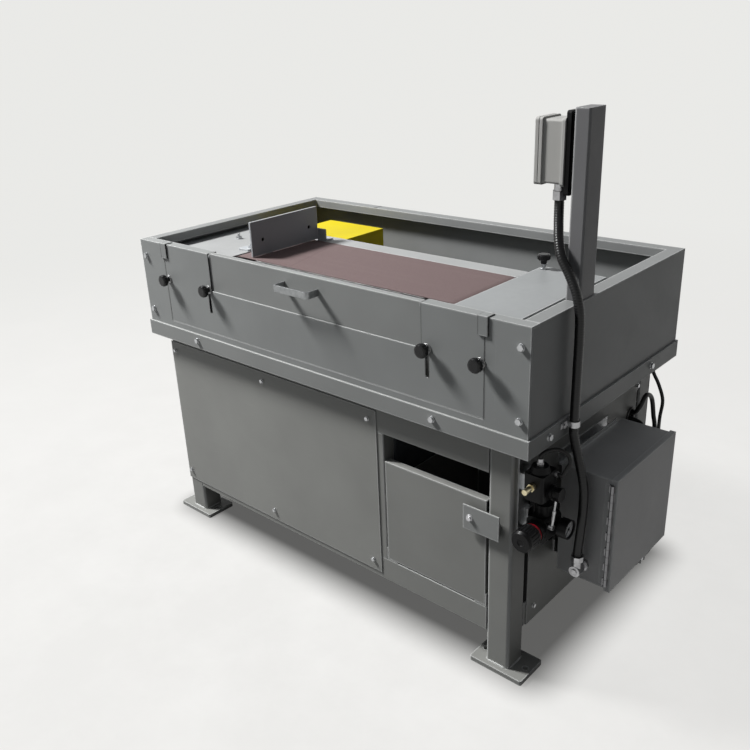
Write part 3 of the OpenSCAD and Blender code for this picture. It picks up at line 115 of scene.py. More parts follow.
class Finish(Nodes):
    """A surface material: constants go on the shader's own sockets, and feed() links what varies."""

    def __init__(self, name, **constants):
        self.material = bpy.data.materials.new(name)
        self.material.use_nodes = True
        super().__init__(self.material.node_tree)
        self.shader = next(n for n in self.tree.nodes if n.type == "BSDF_PRINCIPLED")
        for socket, value in constants.items():
            self.shader.inputs[socket.replace("_", " ")].default_value = value
        self.here = self.node("ShaderNodeTexCoord", out="Object")

    def feed(self, **wires):
        for socket, wire in wires.items():
            self.tree.links.new(wire.socket, self.shader.inputs[socket.replace("_", " ")])
        return self.material

    def noise(self, scale, detail=3.0, rough=0.5, stretch=None):
        """Fractal noise from 0 to 1 in object space; stretch is the scale along each axis."""
        place = self.here
        if stretch:
            place = self.node("ShaderNodeMapping", None, {"Vector": place, "Scale": stretch})
        grain = {"Vector": place, "Scale": scale, "Detail": detail, "Roughness": rough}
        return self.node("ShaderNodeTexNoise", None, grain)

    def axis(self, name):
        """One coordinate of the object space, in metres."""
        return self.part(self.here, name)

    def rounded(self, radius):
        """The surface normal with every sharp edge rounded to this radius."""
        return self.node("ShaderNodeBevel", {"samples": 4}, {"Radius": radius})

    def edges(self, soft):
        """A mask of the edges that a rounded normal rounds: one less its dot product with the true normal."""
        return 1.0 - self.vector("DOT_PRODUCT", soft, self.node("ShaderNodeNewGeometry", out="True Normal"))

    def bump(self, height, strength, distance, normal):
        """The normal tilted by a height that varies over the surface."""
        relief = {"Height": height, "Strength": strength, "Distance": distance, "Normal": normal}
        return self.node("ShaderNodeBump", None, relief)


def tint(colour, share=1.0, lift=0.0):
    """A colour for a socket: each channel times share, plus lift, held at 1, and opaque."""
    return [min(1.0, share * channel + lift) for channel in colour] + [1.0]


def sprayed_enamel(name, colour, rough=0.42, wear_and_highlight=0.7, painted_bend_highlight=0.5, seam=None, shaded_slits=None, stud=None,
                   bare_shade=0.5):
    """Satin enamel: slow shade drift, faint streaks, orange peel, and paler corners and bends.

    The shares for corners and bends say how far they are paled: the corners partly by rubbed wear and partly
    by a painted highlight, the bends by a painted highlight alone. seam is the x of a dark butt seam, and the y
    and z that it starts from. The slit reach is the x out to which upright edges are painted dark, as painted
    shade in the gaps. stud is the y in front of which the metal is bare, in the grey bare_shade.
    """
    # Pale greys: rubbed wear with a painted highlight on the corners, a painted highlight alone on the bends.
    rubbed_highlight_grey, bend_highlight_grey = [0.68, 0.69, 0.68, 1], [0.58, 0.59, 0.58, 1]
    # The first black is painted shade in the upright gaps; the second is the dark butt seam.
    gap_shade_black, seam_black = [0.02, 0.02, 0.02, 1], [0.015, 0.015, 0.015, 1]
    step = 0.001
    paint = Finish(name, IOR=1.5, Specular_IOR_Level=0.22)
    soft, wide = paint.rounded(0.002), paint.rounded(0.0052)
    drift = paint.noise(5.0, 3.0)
    rub = paint.noise(60.0, 5.0, 0.65)
    streak = paint.noise(14.0, 4.0, 0.6, (1, 1, 9))
    base = paint.mix(paint.span(drift, 0.3, 0.7), tint(colour, 0.93), tint(colour, 1.07))
    base = paint.mix(paint.span(streak, 0.62, 0.85, 0.0, 0.12), base, tint(colour, 1.5))
    # The corners are paled partly as rubbed wear and partly as a painted highlight along the edges.
    rubbed_highlight = paint.span(paint.edges(wide) * (rub + 0.5), 0.008, 0.08, 0.0, wear_and_highlight)
    # Painted shade: upright edges out to the slit reach go dark like the gaps beside them, and lose the corner
    # paling.
    if shaded_slits:
        sideways = abs(paint.part(wide, "X"))
        inside = paint.span(abs(paint.axis("X")), shaded_slits, shaded_slits + step, 1.0, 0.0)
        rubbed_highlight = rubbed_highlight * (1.0 - paint.span(sideways, 0.04, 0.2) * inside)
        base = paint.mix(paint.span(sideways, 0.16, 0.42) * inside, base, gap_shade_black)
    base = paint.mix(rubbed_highlight, base, rubbed_highlight_grey)
    # A painted highlight on the rounded bends, where the normal slants between two axes.
    if painted_bend_highlight:
        facing = paint.node("ShaderNodeTexCoord", out="Normal")
        nx, ny, nz = (abs(paint.part(facing, way)) for way in "XYZ")
        bend_highlight = paint.span(nx * ny + ny * nz + nz * nx, 0.1, 0.42, 0.0, painted_bend_highlight)
        base = paint.mix(bend_highlight, base, bend_highlight_grey)
    if seam:
        seam_x, from_y, from_z = seam
        line = paint.span(abs(paint.axis("X") - seam_x), 0.0018, 0.0026, 1.0, 0.0)
        behind = paint.span(paint.axis("Y"), from_y, from_y + step)
        above = paint.span(paint.axis("Z"), from_z, from_z + step)
        base = paint.mix(line * (behind * above), base, seam_black)
    if stud:
        bare = paint.span(paint.axis("Y"), stud - 0.0003, stud, 1.0, 0.0)
        base = paint.mix(bare, base, [bare_shade, bare_shade, 1.03 * bare_shade, 1])
        paint.feed(Metallic=bare)
    gloss = paint.span(drift * 0.5 + rub * 0.5, 0.3, 0.7, rough - 0.07, rough + 0.09)
    peel = paint.bump(paint.noise(420.0, 2.0), 0.10, 0.0006, soft)
    return paint.feed(Base_Color=base, Roughness=gloss, Normal=peel)


def dress(finish, *nodes):
    """Puts one finish on CAD nodes, in place of every slot that they have."""
    for node in nodes:
        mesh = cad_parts[node].data
        mesh.materials.clear()
        mesh.materials.append(finish)


grey_enamel = sprayed_enamel("grey_enamel", (0.25, 0.252, 0.239))
dress(grey_enamel, "legs", "rails", "cross_members", "base_panels")
dress(sprayed_enamel("sheet_enamel", (0.288, 0.29, 0.274)), "front_panel")


# Foot welds: fillet beads of weld metal along the four sides of each leg, where it stands on its foot plate.
# Each bead ripples where the pool froze, stops short of the corners, and is painted over with the stand.
def piece(name, verts, faces, finish, body, smooth=True):
    """A finished mesh object that rides on a body; faces is a list of polygons."""
    mesh = bpy.data.meshes.new(name)
    mesh.from_pydata(np.asarray(verts).tolist(), [], [list(map(int, face)) for face in faces])
    mesh.materials.append(finish)
    if smooth:
        mesh.shade_smooth()
    made = bpy.data.objects.new(name, mesh)
    bpy.context.scene.collection.objects.link(made)
    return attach(made, body)


def tube_grid(path, radius, sides, ref):
    """Rings of a round tube: at each point of the path a circle across its direction, turned from ref."""
    path = np.asarray(path, float)
    along = np.gradient(path, axis=0)
    along /= np.linalg.norm(along, axis=1, keepdims=True)
    side = np.cross(along, ref)
    side /= np.linalg.norm(side, axis=1, keepdims=True)
    over = np.cross(side, along)
    turn = np.linspace(0, 2 * np.pi, sides, endpoint=False)[None, :, None]
    reach = np.broadcast_to(np.asarray(radius, float), (len(path),))[:, None, None]
    return path[:, None] + reach * (np.cos(turn) * side[:, None] + np.sin(turn) * over[:, None])


def grid_faces(rows, columns, start=0, looped=False):
    """Quads of a grid that closes on itself across its columns. A looped grid closes across its rows as well,
    and any other has its first and last rows capped."""
    i, j = np.meshgrid(np.arange(rows if looped else rows - 1), np.arange(columns), indexing="ij")
    row, next_row, next_j = i * columns, (i + 1) % rows * columns, (j + 1) % columns
    quads = np.stack([row + j, row + next_j, next_row + next_j, next_row + j], -1).reshape(-1, 4) + start
    if looped:
        return quads.tolist()
    last = start + (rows - 1) * columns
    return quads.tolist() + [list(range(start + columns - 1, start - 1, -1)), list(range(last, last + columns))]


def beads(runs, radius, pitch, finish, name, body):
    """One mesh of weld beads: each is a tube along a straight run, whose radius ripples once a pitch and dies
    away at the ends."""
    sides, steps_a_pitch, fewest_steps, ref = 8, 5, 16, (0.31, 0.52, 0.8)
    verts, faces = [], []
    for start, end in runs:
        length = np.linalg.norm(end - start)
        t = np.linspace(0, 1, max(fewest_steps, int(length / pitch * steps_a_pitch)))
        ripple = 0.86 + 0.14 * np.abs(np.sin(np.pi * t * length / pitch))
        taper = np.minimum(1, 8 * np.minimum(t, 1 - t) + 0.3)
        grid = tube_grid(start + t[:, None] * (end - start), radius * ripple * taper, sides, ref)
        faces += grid_faces(*grid.shape[:2], start=len(verts))
        verts += grid.reshape(-1, 3).tolist()
    return piece(name, verts, faces, finish, body)


plate_top, half_tube, corner_gap = 0.012, 0.0635 / 2, 0.008
leg_x, leg_y = 0.58025, 0.30325
bead_radius, bead_pitch = 0.0034, 0.0042
foot_runs = []
for sx in (-1, 1):
    for sy in (-1, 1):
        for ax, ay in ((1, 0), (-1, 0), (0, 1), (0, -1)):
            middle = np.array([sx * leg_x + ax * half_tube, sy * leg_y + ay * half_tube, plate_top])
            half_run = np.array([ay, ax, 0]) * (half_tube - corner_gap)
            foot_runs.append((middle - half_run, middle + half_run))
beads(foot_runs, bead_radius, bead_pitch, grey_enamel, "foot_welds", "base")


# Side seals: strips of black foam, one in each gap between a side sheet and a leg. They are painted shade: dark
# strips where the gaps show only shade, which also keep the dust in. They are cut from sheet and glued along
# the inside of the side sheets.
def strips(runs, wide, thick, finish, name, body):
    """Flat strips: a rectangle with cut corners, eight points round, carried straight from start to end."""
    outline = np.array([(-1, -0.6), (-0.7, -1), (0.7, -1), (1, -0.6), (1, 0.6), (0.7, 1), (-0.7, 1), (-1, 0.6)])
    ring = np.concatenate([outline * (thick / 2, wide / 2), np.zeros((len(outline), 1))], 1)
    verts, faces = [], []
    for start, end in runs:
        faces += grid_faces(2, len(ring), start=len(verts))
        verts += np.concatenate([ring + start, ring + end]).tolist()
    return piece(name, verts, faces, finish, body, smooth=False)


# Black foam, used as painted shade: in the side seals and the stop's inserts it darkens openings that show only
# shade.
foam = Finish("painted_shade_foam", IOR=1.4, Specular_IOR_Level=0.1)
pores = foam.noise(900.0, 3.0)
foam_shade = foam.mix(foam.span(pores, 0.3, 0.7), [0.008, 0.008, 0.008, 1], [0.022, 0.022, 0.022, 1])
painted_shade_foam = foam.feed(Base_Color=foam_shade, Roughness=foam.span(pores, 0.3, 0.7, 0.95, 0.8))
seal_x, seal_y, seal_foot, seal_top = 0.6075, 0.262, 0.17, 0.526
seal_wide, seal_thick = 0.0184, 0.0046
seal_runs = [(np.array([sx * seal_x, sy * seal_y, seal_foot]), np.array([sx * seal_x, sy * seal_y, seal_top]))
             for sx in (-1, 1) for sy in (-1, 1)]
strips(seal_runs, seal_wide, seal_thick, painted_shade_foam, "side_shade_seals", "base")

# Dust bin: a box folded from the same sheet, which slides on two angle runners. A plate screwed to its front
# reaches over the leg, where a magnet holds it shut. The head of that screw is bare steel.
screw_head = 0.0058
catch_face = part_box("bin_catch")[0][1] + screw_head
dress(grey_enamel, "dust_bin", "bin_runners")
dress(sprayed_enamel("catch_enamel", (0.27, 0.276, 0.27), stud=catch_face), "bin_catch")


# Dust curtain: a black rubber sheet screwed along the bin's inner runner, put there as painted shade: it
# darkens the view into the stand behind the bin. It closes the bin's side of the stand off from the motor, and
# its free top edge waves a little.
def hung_sheet(place, low, high, thick, wave, finish, name, body):
    """A sheet across x: a flat ring round its y width at each height, shifted in x by a sine that grows
    upwards. low and high are its corners in y and z."""
    columns, rows, waves_across, waves_up = 61, 25, 46.0, 3.0
    y = np.linspace(low[0], high[0], columns)
    z = np.linspace(low[1], high[1], rows)[:, None]
    sway = 0.5 + 0.5 * np.sin(y * waves_across + waves_up * z)
    shift = place - wave * sway * (z - low[1]) / (high[1] - low[1])
    front = np.stack([shift + thick / 2, np.broadcast_to(y, shift.shape), np.broadcast_to(z, shift.shape)], -1)
    rings = np.concatenate([front, (front - (thick, 0, 0))[:, ::-1]], 1)
    return piece(name, rings.reshape(-1, 3), grid_faces(*rings.shape[:2]), finish, body)


# The sheet is a dark fill: painted shade inside the stand.
sheeting = Finish("shade_sheet_rubber", IOR=1.45, Specular_IOR_Level=0.3)
bloom = sheeting.noise(30.0, 5.0, 0.6)
sheeting_shade = sheeting.mix(sheeting.span(bloom, 0.3, 0.7), [0.06, 0.064, 0.07, 1], [0.1, 0.105, 0.115, 1])
shade_sheet_rubber = sheeting.feed(Base_Color=sheeting_shade, Roughness=sheeting.span(bloom, 0.3, 0.7, 0.5, 0.7))
curtain_x, curtain_low, curtain_high = 0.2372, (-0.294, 0.168), (0.333, 0.527)
curtain_thick, curtain_wave = 0.003, 0.002
hung_sheet(curtain_x, curtain_low, curtain_high, curtain_thick, curtain_wave, shade_sheet_rubber,
           "bin_shade_curtain", "base")

# Tray and tub: plate and folded sheet, bolted at the lip and corners, with the gate behind the access panel.
# The access panel hangs between the front corners with a gap at each side, whose upright edges are painted dark
# as shade. The rear rim is folded in two lengths, which meet in a butt seam left of the guard.
gap_reach = 0.575
rim_seam = (-0.355, 0.325, 0.868)
dress(sprayed_enamel("tub_front_enamel", (0.258, 0.264, 0.258)), "tray", "gate")
dress(sprayed_enamel("panel_enamel", (0.26, 0.268, 0.264), shaded_slits=gap_reach), "front_frame", "access_panel")
# The tub walls take a darker copy of the same enamel, as painted shade for their right side, which stands in
# shade.
dress(sprayed_enamel("tub_shaded_enamel", (0.234, 0.24, 0.238), seam=rim_seam), "tub_walls")


# Bolts, screws, the door latch and the enclosure's bars are steel with a bright, slightly cloudy zinc plate.
# The conduit's fittings are zinc castings, and the gate's handle is a bent strap of satin steel.
def bright_plate(name, colour, rough):
    """Plated metal: a cloudy noise shifts shade and gloss together, and the rounded edges are darker."""
    plate = Finish(name, Metallic=1.0)
    soft = plate.rounded(0.0009)
    cloud = plate.noise(90.0, 4.0, 0.6)
    base = plate.mix(plate.span(cloud, 0.3, 0.7), tint(colour, 0.75), tint(colour))
    base = plate.mix(plate.span(plate.edges(soft), 0.06, 0.35, 0.0, 0.75), base, tint(colour, 0.2))
    gloss = plate.span(cloud, 0.3, 0.7, rough + 0.1, rough)
    return plate.feed(Base_Color=base, Roughness=gloss, Normal=soft)


dress(bright_plate("zinc_plate", (0.5, 0.51, 0.52), rough=0.3), "bolts", "door_latch", "mount_bars")
dress(bright_plate("cast_zinc", (0.44, 0.44, 0.45), rough=0.3), "fittings")
dress(bright_plate("satin_handle", (0.33, 0.34, 0.345), rough=0.46), "gate_handle")


# Clamp knobs are black phenolic, moulded round bright steel studs, a little dusty in the flutes. Those on the
# tub's front bear on turned steel washers. The cover's star knob and the tracking knob are moulded alike.
def knob_finish(name, axis, seat, out):
    """Black phenolic, but bright steel below the seat plane on this axis; out is the way the knob faces."""
    knob_black, knob_dusty = [0.006, 0.006, 0.0065, 1], [0.015, 0.015, 0.016, 1]
    stud_steel = [0.42, 0.43, 0.44, 1]
    phenolic = Finish(name, IOR=1.5, Specular_IOR_Level=0.25)
    dust = phenolic.noise(70.0, 5.0, 0.6)
    steel_part = phenolic.span((phenolic.axis(axis) - seat) * out, 0.0, 0.0001, 1.0, 0.0)
    base = phenolic.mix(phenolic.span(dust, 0.35, 0.8), knob_black, knob_dusty)
    base = phenolic.mix(steel_part, base, stud_steel)
    gloss = phenolic.span(dust, 0.3, 0.7, 0.22, 0.34)
    return phenolic.feed(Base_Color=base, Metallic=steel_part, Roughness=gloss, Normal=phenolic.rounded(0.0008))


def washer(name, centre, out, inner, outer, thick, finish, body):
    """A turned washer: a rectangle with one chamfered edge, carried round the axis out through centre."""
    steps, ref = 40, (0.48, 0.6, 0.64)
    out = np.array(out, float)
    side = np.cross(out, ref)
    side /= np.linalg.norm(side)
    over = np.cross(out, side)
    profile = np.array([(inner, 0), (outer, 0), (outer, 0.6 * thick), (outer - 0.4 * thick, thick),
                        (inner, thick)])
    turn = np.linspace(0, 2 * np.pi, steps, endpoint=False)[:, None, None]
    spokes = np.cos(turn) * side + np.sin(turn) * over
    rings = np.array(centre, float) + profile[None, :, :1] * spokes + profile[None, :, 1:] * out
    faces = grid_faces(*rings.shape[:2], looped=True)
    return piece(name, rings.reshape(-1, 3), faces, finish, body, smooth=False)


front_knobs = ("gate_knob_left", "gate_knob_right", "panel_knob_left", "panel_knob_right")
panel_face, stud_collar, star_height, tracking_grip = -0.3603, 0.0021, 0.025, 0.016
front_seat = panel_face - stud_collar
cover_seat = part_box("cover_knob")[1][2] - star_height
tracking_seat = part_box("tracking_knob")[1][0] - tracking_grip
dress(knob_finish("front_knob", "Y", front_seat, -1.0), *front_knobs)
dress(knob_finish("top_knob", "Z", cover_seat, 1.0), "cover_knob")
dress(knob_finish("end_knob", "X", tracking_seat, 1.0), "tracking_knob")
dull_steel = bright_plate("dull_steel", (0.3, 0.3, 0.3), rough=0.45)
washer_y, washer_thick = -0.3604, 0.0016
for knob in front_knobs:
    low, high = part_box(knob)
    spread = high[0] - low[0]
    middle = ((low[0] + high[0]) / 2, washer_y, (low[2] + high[2]) / 2)
    washer(knob + "_washer", middle, (0, -1, 0), 0.29 * spread, 0.37 * spread, washer_thick, dull_steel,
           knob)


# Bed: a ground steel platen on enamelled arms, with the idler drum on its sliding carriage. The drive drum is
# lagged with rubber, and both turn in cast pillow blocks. An anodised air cylinder pushes the carriage out.
def ground_steel(name, colour, rough, lay=(1, 60, 1)):
    """Ground metal: a noise drawn out along the lay of the grinding shifts shade, gloss and height together."""
    metal = Finish(name, Metallic=1.0)
    lines = metal.noise(40.0, 5.0, 0.7, lay)
    base = metal.mix(metal.span(lines, 0.3, 0.7), tint(colour, 0.75), tint(colour))
    gloss = metal.span(lines, 0.25, 0.75, rough - 0.06, rough + 0.1)
    scratches = metal.bump(lines, 0.08, 0.0003, metal.rounded(0.0006))
    return metal.feed(Base_Color=base, Roughness=gloss, Normal=scratches)


def moulded(name, colour, rough, grain=0.0, shine=0.25):
    """Moulded plastic or rubber: a dusty noise shifts shade and gloss together, over a fine skin grain."""
    skin = Finish(name, IOR=1.5, Specular_IOR_Level=shine)
    dust = skin.noise(70.0, 5.0, 0.6)
    base = skin.mix(skin.span(dust, 0.35, 0.8), tint(colour), tint(colour, 1.25, 0.005))
    gloss = skin.span(dust, 0.3, 0.7, rough, rough + 0.12)
    relief = skin.bump(skin.noise(1500.0, 2.0), grain, 0.0002, skin.rounded(0.0008))
    return skin.feed(Base_Color=base, Roughness=gloss, Normal=relief)


dress(ground_steel("ground_steel", (0.5, 0.5, 0.5), rough=0.34), "platen", "idler_drum", "idler_carriage")
dress(ground_steel("anodised", (0.62, 0.63, 0.65), rough=0.4, lay=(30, 1, 1)), "tension_cylinder")
dress(moulded("drum_lagging", (0.02, 0.02, 0.02), rough=0.6, grain=0.3), "drive_drum")
cast_enamel = sprayed_enamel("cast_enamel", (0.06, 0.07, 0.075), rough=0.5, wear_and_highlight=0.2, painted_bend_highlight=0.0)
dress(cast_enamel, "drive_bearings", "idler_bearings", "drum_pulley", "motor_pulley")
dress(grey_enamel, "bed_frame", "stands")


# Abrasive belt: an endless loop of cloth, coated with maroon-brown grain and stretched over the two drums.
# Its ends meet in a slanting glued lap, and work has left faint long streaks on it.
def abrasive_cloth():
    """Coated grain: fine and clumped noises give shade, gloss and height, and a noise drawn out along the belt
    gives the streaks. The lap is a thin dark line, where x and y added in two shares come to one value."""
    grain_dark, grain_pale = [0.1, 0.067, 0.066, 1], [0.172, 0.119, 0.116, 1]
    clump_pale, streak_pale = [0.205, 0.146, 0.143, 1], [0.22, 0.167, 0.16, 1]
    lap_dark = [0.06, 0.035, 0.034, 1]
    lap_along, lap_across, lap_place = 0.962, 0.273, -0.222
    cloth = Finish("abrasive_cloth", IOR=1.45)
    grain = cloth.noise(1400.0, 2.0, 0.7)
    clump = cloth.noise(220.0, 3.0, 0.6)
    streak = cloth.noise(9.0, 4.0, 0.6, (0.15, 6, 1))
    base = cloth.mix(cloth.span(grain, 0.35, 0.65), grain_dark, grain_pale)
    base = cloth.mix(cloth.span(clump, 0.45, 0.8, 0.0, 0.35), base, clump_pale)
    base = cloth.mix(cloth.span(streak, 0.5, 0.85, 0.0, 0.25), base, streak_pale)
    off_lap = abs(cloth.axis("X") * lap_along + cloth.axis("Y") * lap_across - lap_place)
    base = cloth.mix(cloth.span(off_lap, 0.0006, 0.0014, 0.55, 0.0), base, lap_dark)
    gloss = cloth.span(grain, 0.3, 0.7, 0.85, 0.6)
    facing = cloth.node("ShaderNodeNewGeometry", out="Normal")
    grit = cloth.bump(grain * 0.7 + clump * 0.3, 0.5, 0.0006, facing)
    return cloth.feed(Base_Color=base, Roughness=gloss, Normal=grit)


dress(abrasive_cloth(), "abrasive_belt")

# Covers: folded sheet over the drums, the ledge behind the belt, and the work stop screwed across it. Dark
# inserts fill the stop's two holes, as painted shade where the holes show only shade. The guard over the drive
# belts is sprayed safety yellow.
dress(sprayed_enamel("cover_enamel", (0.29, 0.3, 0.302), rough=0.4), "cover_right")
dress(sprayed_enamel("pale_enamel", (0.355, 0.36, 0.358), rough=0.4), "fixed_covers")
dress(sprayed_enamel("stop_enamel", (0.395, 0.415, 0.435), rough=0.4), "work_stop")
insert_x, insert_z, insert_bore, insert_radius, insert_thick = -0.3228, 0.907, 0.0009, 0.00545, 0.003
for number, insert_y in enumerate((-0.186, -0.007)):
    washer("stop_shade_insert_%d" % number, (insert_x, insert_y, insert_z), (1, 0, 0), insert_bore, insert_radius,
           insert_thick, painted_shade_foam, "base")
dress(sprayed_enamel("yellow_enamel", (0.62, 0.5, 0.001), rough=0.5, wear_and_highlight=0.0, painted_bend_highlight=0.0), "drive_guard")

# Motor: a cast iron foot motor in dark enamel, bolted to a plate on two bars across the stand.
# Two moulded rubber V-belts run from it up to the drive drum.
dress(sprayed_enamel("motor_enamel", (0.05, 0.06, 0.07), rough=0.45, wear_and_highlight=0.2, painted_bend_highlight=0.0), "motor")
black_rubber = moulded("black_rubber", (0.008, 0.008, 0.008), rough=0.42, grain=0.15)
dress(black_rubber, "v_belts")

# Post of enamelled rectangular tube, with the die-cast push-button box screwed to a black back plate on it.
# The two buttons are moulded, a green one to start and a red one to stop.
dress(sprayed_enamel("post_enamel", (0.165, 0.164, 0.168), rough=0.4, painted_bend_highlight=0.15), "post")
dress(sprayed_enamel("station_enamel", (0.43, 0.425, 0.405), wear_and_highlight=0.3, painted_bend_highlight=0.0), "station_box")
black_plastic = moulded("black_plastic", (0.0045, 0.0045, 0.005), rough=0.32, grain=0.2, shine=0.13)
dress(black_plastic, "station_back")
dress(moulded("green_button", (0.02, 0.16, 0.04), rough=0.25), "start_button")
red_moulding = moulded("red_moulding", (0.42, 0.012, 0.025), rough=0.28)
dress(red_moulding, "stop_button")


# Flexible conduit: a ribbed steel core under a black jacket. It runs from the push-button box over the rim and
# down the outside, where a strap holds it, to an elbow on the enclosure.
def spline(points, per):
    """A smooth curve in metres through points in millimetres, with per steps to a span: on each span the cubic
    whose slopes are half the difference of the neighbours."""
    p = np.array(points, float) / 1000.0
    a, b, c, d = np.vstack([p[:1], p[:-2]]), p[:-1], p[1:], np.vstack([p[2:], p[-1:]])
    t = np.linspace(0, 1, per, endpoint=False)[None, :, None]
    a, b, c, d = (q[:, None] for q in (a, b, c, d))
    curve = 0.5 * (2 * b + (c - a) * t + (2 * a - 5 * b + 4 * c - d) * t**2 + (3 * b - a - 3 * c + d) * t**3)
    return np.vstack([curve.reshape(-1, 3), p[-1:]])


def even(path, step):
    """The same path with its points one step apart along its length, and the length at each."""
    run = np.concatenate([[0], np.cumsum(np.linalg.norm(np.diff(path, axis=0), axis=1))])
    at = np.linspace(0, run[-1], int(run[-1] / step) + 1)
    return np.stack([np.interp(at, run, path[:, i]) for i in range(3)], 1), at


conduit_points = [
    (580, -138, 1100), (580.5, -138.5, 1085), (589, -152, 1050), (602, -170, 1019), (618, -183.5, 990),
    (641, -190.5, 961), (664, -199.5, 926), (677, -205, 888), (680, -206, 840), (680, -206, 760),
    (680, -206, 670), (680, -206, 650), (680, -206, 630), (680, -206, 616), (687, -206, 587.5),
    (699, -206, 544.9), (712, -206, 492.4), (714, -206, 443.2), (712, -206, 387.4), (708, -206, 328.4),
    (708, -206, 312),
]
conduit_radius, rib_height, rib_pitch = 0.0102, 0.0003, 0.0056
conduit_path, run = even(spline(conduit_points, per=24), step=0.0011)
ribbed = conduit_radius + rib_height * np.sin(2 * np.pi * run / rib_pitch)
grid = tube_grid(conduit_path, ribbed, sides=22, ref=(0, 1, 0))
conduit_jacket = moulded("conduit_jacket", (0.0065, 0.0065, 0.007), rough=0.28, grain=0.1, shine=0.3)
conduit = piece("conduit_hose", grid.reshape(-1, 3), grid_faces(*grid.shape[:2]), conduit_jacket,
                "base")
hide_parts("conduit")

# Cables: two round rubber leads leave the stand through a moulded grommet ring, and a thinner one comes down
# from the tub. All three are clamped in glands on the back of the enclosure.
leads = (
    ([(588, 221, 466), (624, 221, 466), (650, 217, 462), (680, 179, 456), (688, 157, 450), (688, 143, 450),
      (688, 119, 450)], 0.006, (0, 0, 1)),
    ([(588, 237, 476), (618, 237, 477), (633, 240, 500), (637, 262, 524), (637, 298, 504), (640, 313, 452),
      (654, 291, 412), (658, 187, 408), (664, 157, 414), (664, 143, 414),
      (664, 119, 414)], 0.006, (0.5, 0.5, 0.7)),
    ([(650, 262, 609.7), (650, 262, 593.7), (668, 262, 561.7), (682, 262, 521.7), (683, 252, 477.7),
      (710, 183, 464), (716, 157, 472), (716, 143, 472), (716, 119, 472)], 0.0045, (1, 0.5, 0.6)),
)
cable_verts, cable_faces = [], []
for points, radius, ref in leads:
    grid = tube_grid(even(spline(points, per=24), step=0.003)[0], radius, sides=16, ref=ref)
    cable_faces += grid_faces(*grid.shape[:2], start=len(cable_verts))
    cable_verts += grid.reshape(-1, 3).tolist()


def grommet(profile, middle_y, middle_z, steps):
    """A moulded ring: a profile of radius and x, carried round the middle."""
    turn = np.linspace(0, 2 * np.pi, steps, endpoint=False)[:, None]
    radius, x = profile[:, 0], np.broadcast_to(profile[:, 1], (steps, len(profile)))
    return np.stack([x, middle_y + np.cos(turn) * radius, middle_z + np.sin(turn) * radius], -1)


lip = np.array([(0.017, 0.612), (0.0225, 0.612), (0.023, 0.6125), (0.023, 0.6145), (0.0215, 0.616),
                (0.0185, 0.616), (0.017, 0.6145)])
outlet_y, outlet_z = 0.229, 0.472
ring = grommet(lip, outlet_y, outlet_z, steps=48)
cable_faces += grid_faces(*ring.shape[:2], start=len(cable_verts), looped=True)
cable_verts += ring.reshape(-1, 3).tolist()
cables = piece("cable_leads", cable_verts, cable_faces, black_rubber, "base")
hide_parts("cables")

# Enclosure: a folded and welded steel box in pale enamel, hung on two bars, with the starter on a plate inside.
# Its door swings on a long knuckle hinge, which is bare steel along the front.
hinge_reach = 0.0084
hinge_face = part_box("enclosure")[0][1] + hinge_reach
enclosure_enamel = sprayed_enamel("enclosure_enamel", (0.44, 0.44, 0.435), wear_and_highlight=0.9, stud=hinge_face,
                                  bare_shade=0.2)
dress(enclosure_enamel, "enclosure", "enclosure_door")
dress(moulded("pale_moulding", (0.55, 0.54, 0.48), rough=0.4, grain=0.2), "starter")

# Air unit: the valve and the pressure regulator, moulded in black plastic and screwed to the leg one above the
# other. A red lock ring sits under the regulator's knob, and a round gauge is screwed into its side.
dress(black_plastic, "air_valve", "air_regulator", "regulator_knob", "air_gauge", "gauge_needle")
dress(red_moulding, "regulator_ring")

# Gauge face: a white printed plate dropped into the case and held by the pivot, with black ticks over
# three quarters of a turn and plain numbers from 0 to 10.
pivot_y, pivot_z, plate_x = -0.25625, 0.407, 0.70705
plate_bore, plate_thick, ink_x = 0.0018, 0.0003, plate_x + 0.0004
first_angle, sweep, top_number = 225, 270, 10
gauge_low, gauge_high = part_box("air_gauge")
face_reach = 0.5 * (gauge_high[2] - gauge_low[2]) - 0.0032
white_print = moulded("white_print", (0.86, 0.86, 0.84), rough=0.35)
washer("gauge_face", (plate_x, pivot_y, pivot_z), (1, 0, 0), plate_bore, face_reach, plate_thick, white_print,
       "base")


def scale_marks(count, every, inner, outer, wide):
    """Flat ticks on the face: each a rectangle along the radius, longer and wider at every nth one."""
    n = np.arange(count)
    angle = np.radians(first_angle - sweep * n / (count - 1))[:, None]
    long = n % every == 0
    start = np.where(long, inner, 0.5 * (inner + outer))[:, None]
    end = np.full_like(start, outer)
    half = np.where(long, wide, 0.5 * wide)[:, None] * np.array([-1, 1, 1, -1])
    reach = np.concatenate([start, start, end, end], 1)
    y = pivot_y + reach * np.cos(angle) - half * np.sin(angle)
    z = pivot_z + reach * np.sin(angle) + half * np.cos(angle)
    corners = np.stack([np.full_like(y, ink_x), y, z], -1).reshape(-1, 3)
    return corners.tolist(), np.arange(4 * count).reshape(-1, 4).tolist()


def numeral(value, tall):
    """The flat mesh of a plain number, centred on the origin: its points, and its polygons as index arrays."""
    words = bpy.data.curves.new("numeral", "FONT")
    words.body, words.size, words.align_x, words.align_y = str(value), tall, "CENTER", "CENTER"
    holder = bpy.data.objects.new("numeral", words)
    flat = bpy.data.meshes.new_from_object(holder)
    ink = np.empty(3 * len(flat.vertices))
    flat.vertices.foreach_get("co", ink)
    corners = np.empty(len(flat.loops), int)
    flat.loops.foreach_get("vertex_index", corners)
    starts = np.empty(len(flat.polygons), int)
    flat.polygons.foreach_get("loop_start", starts)
    bpy.data.objects.remove(holder)
    bpy.data.meshes.remove(flat)
    return ink.reshape(-1, 3), np.split(corners, starts[1:])


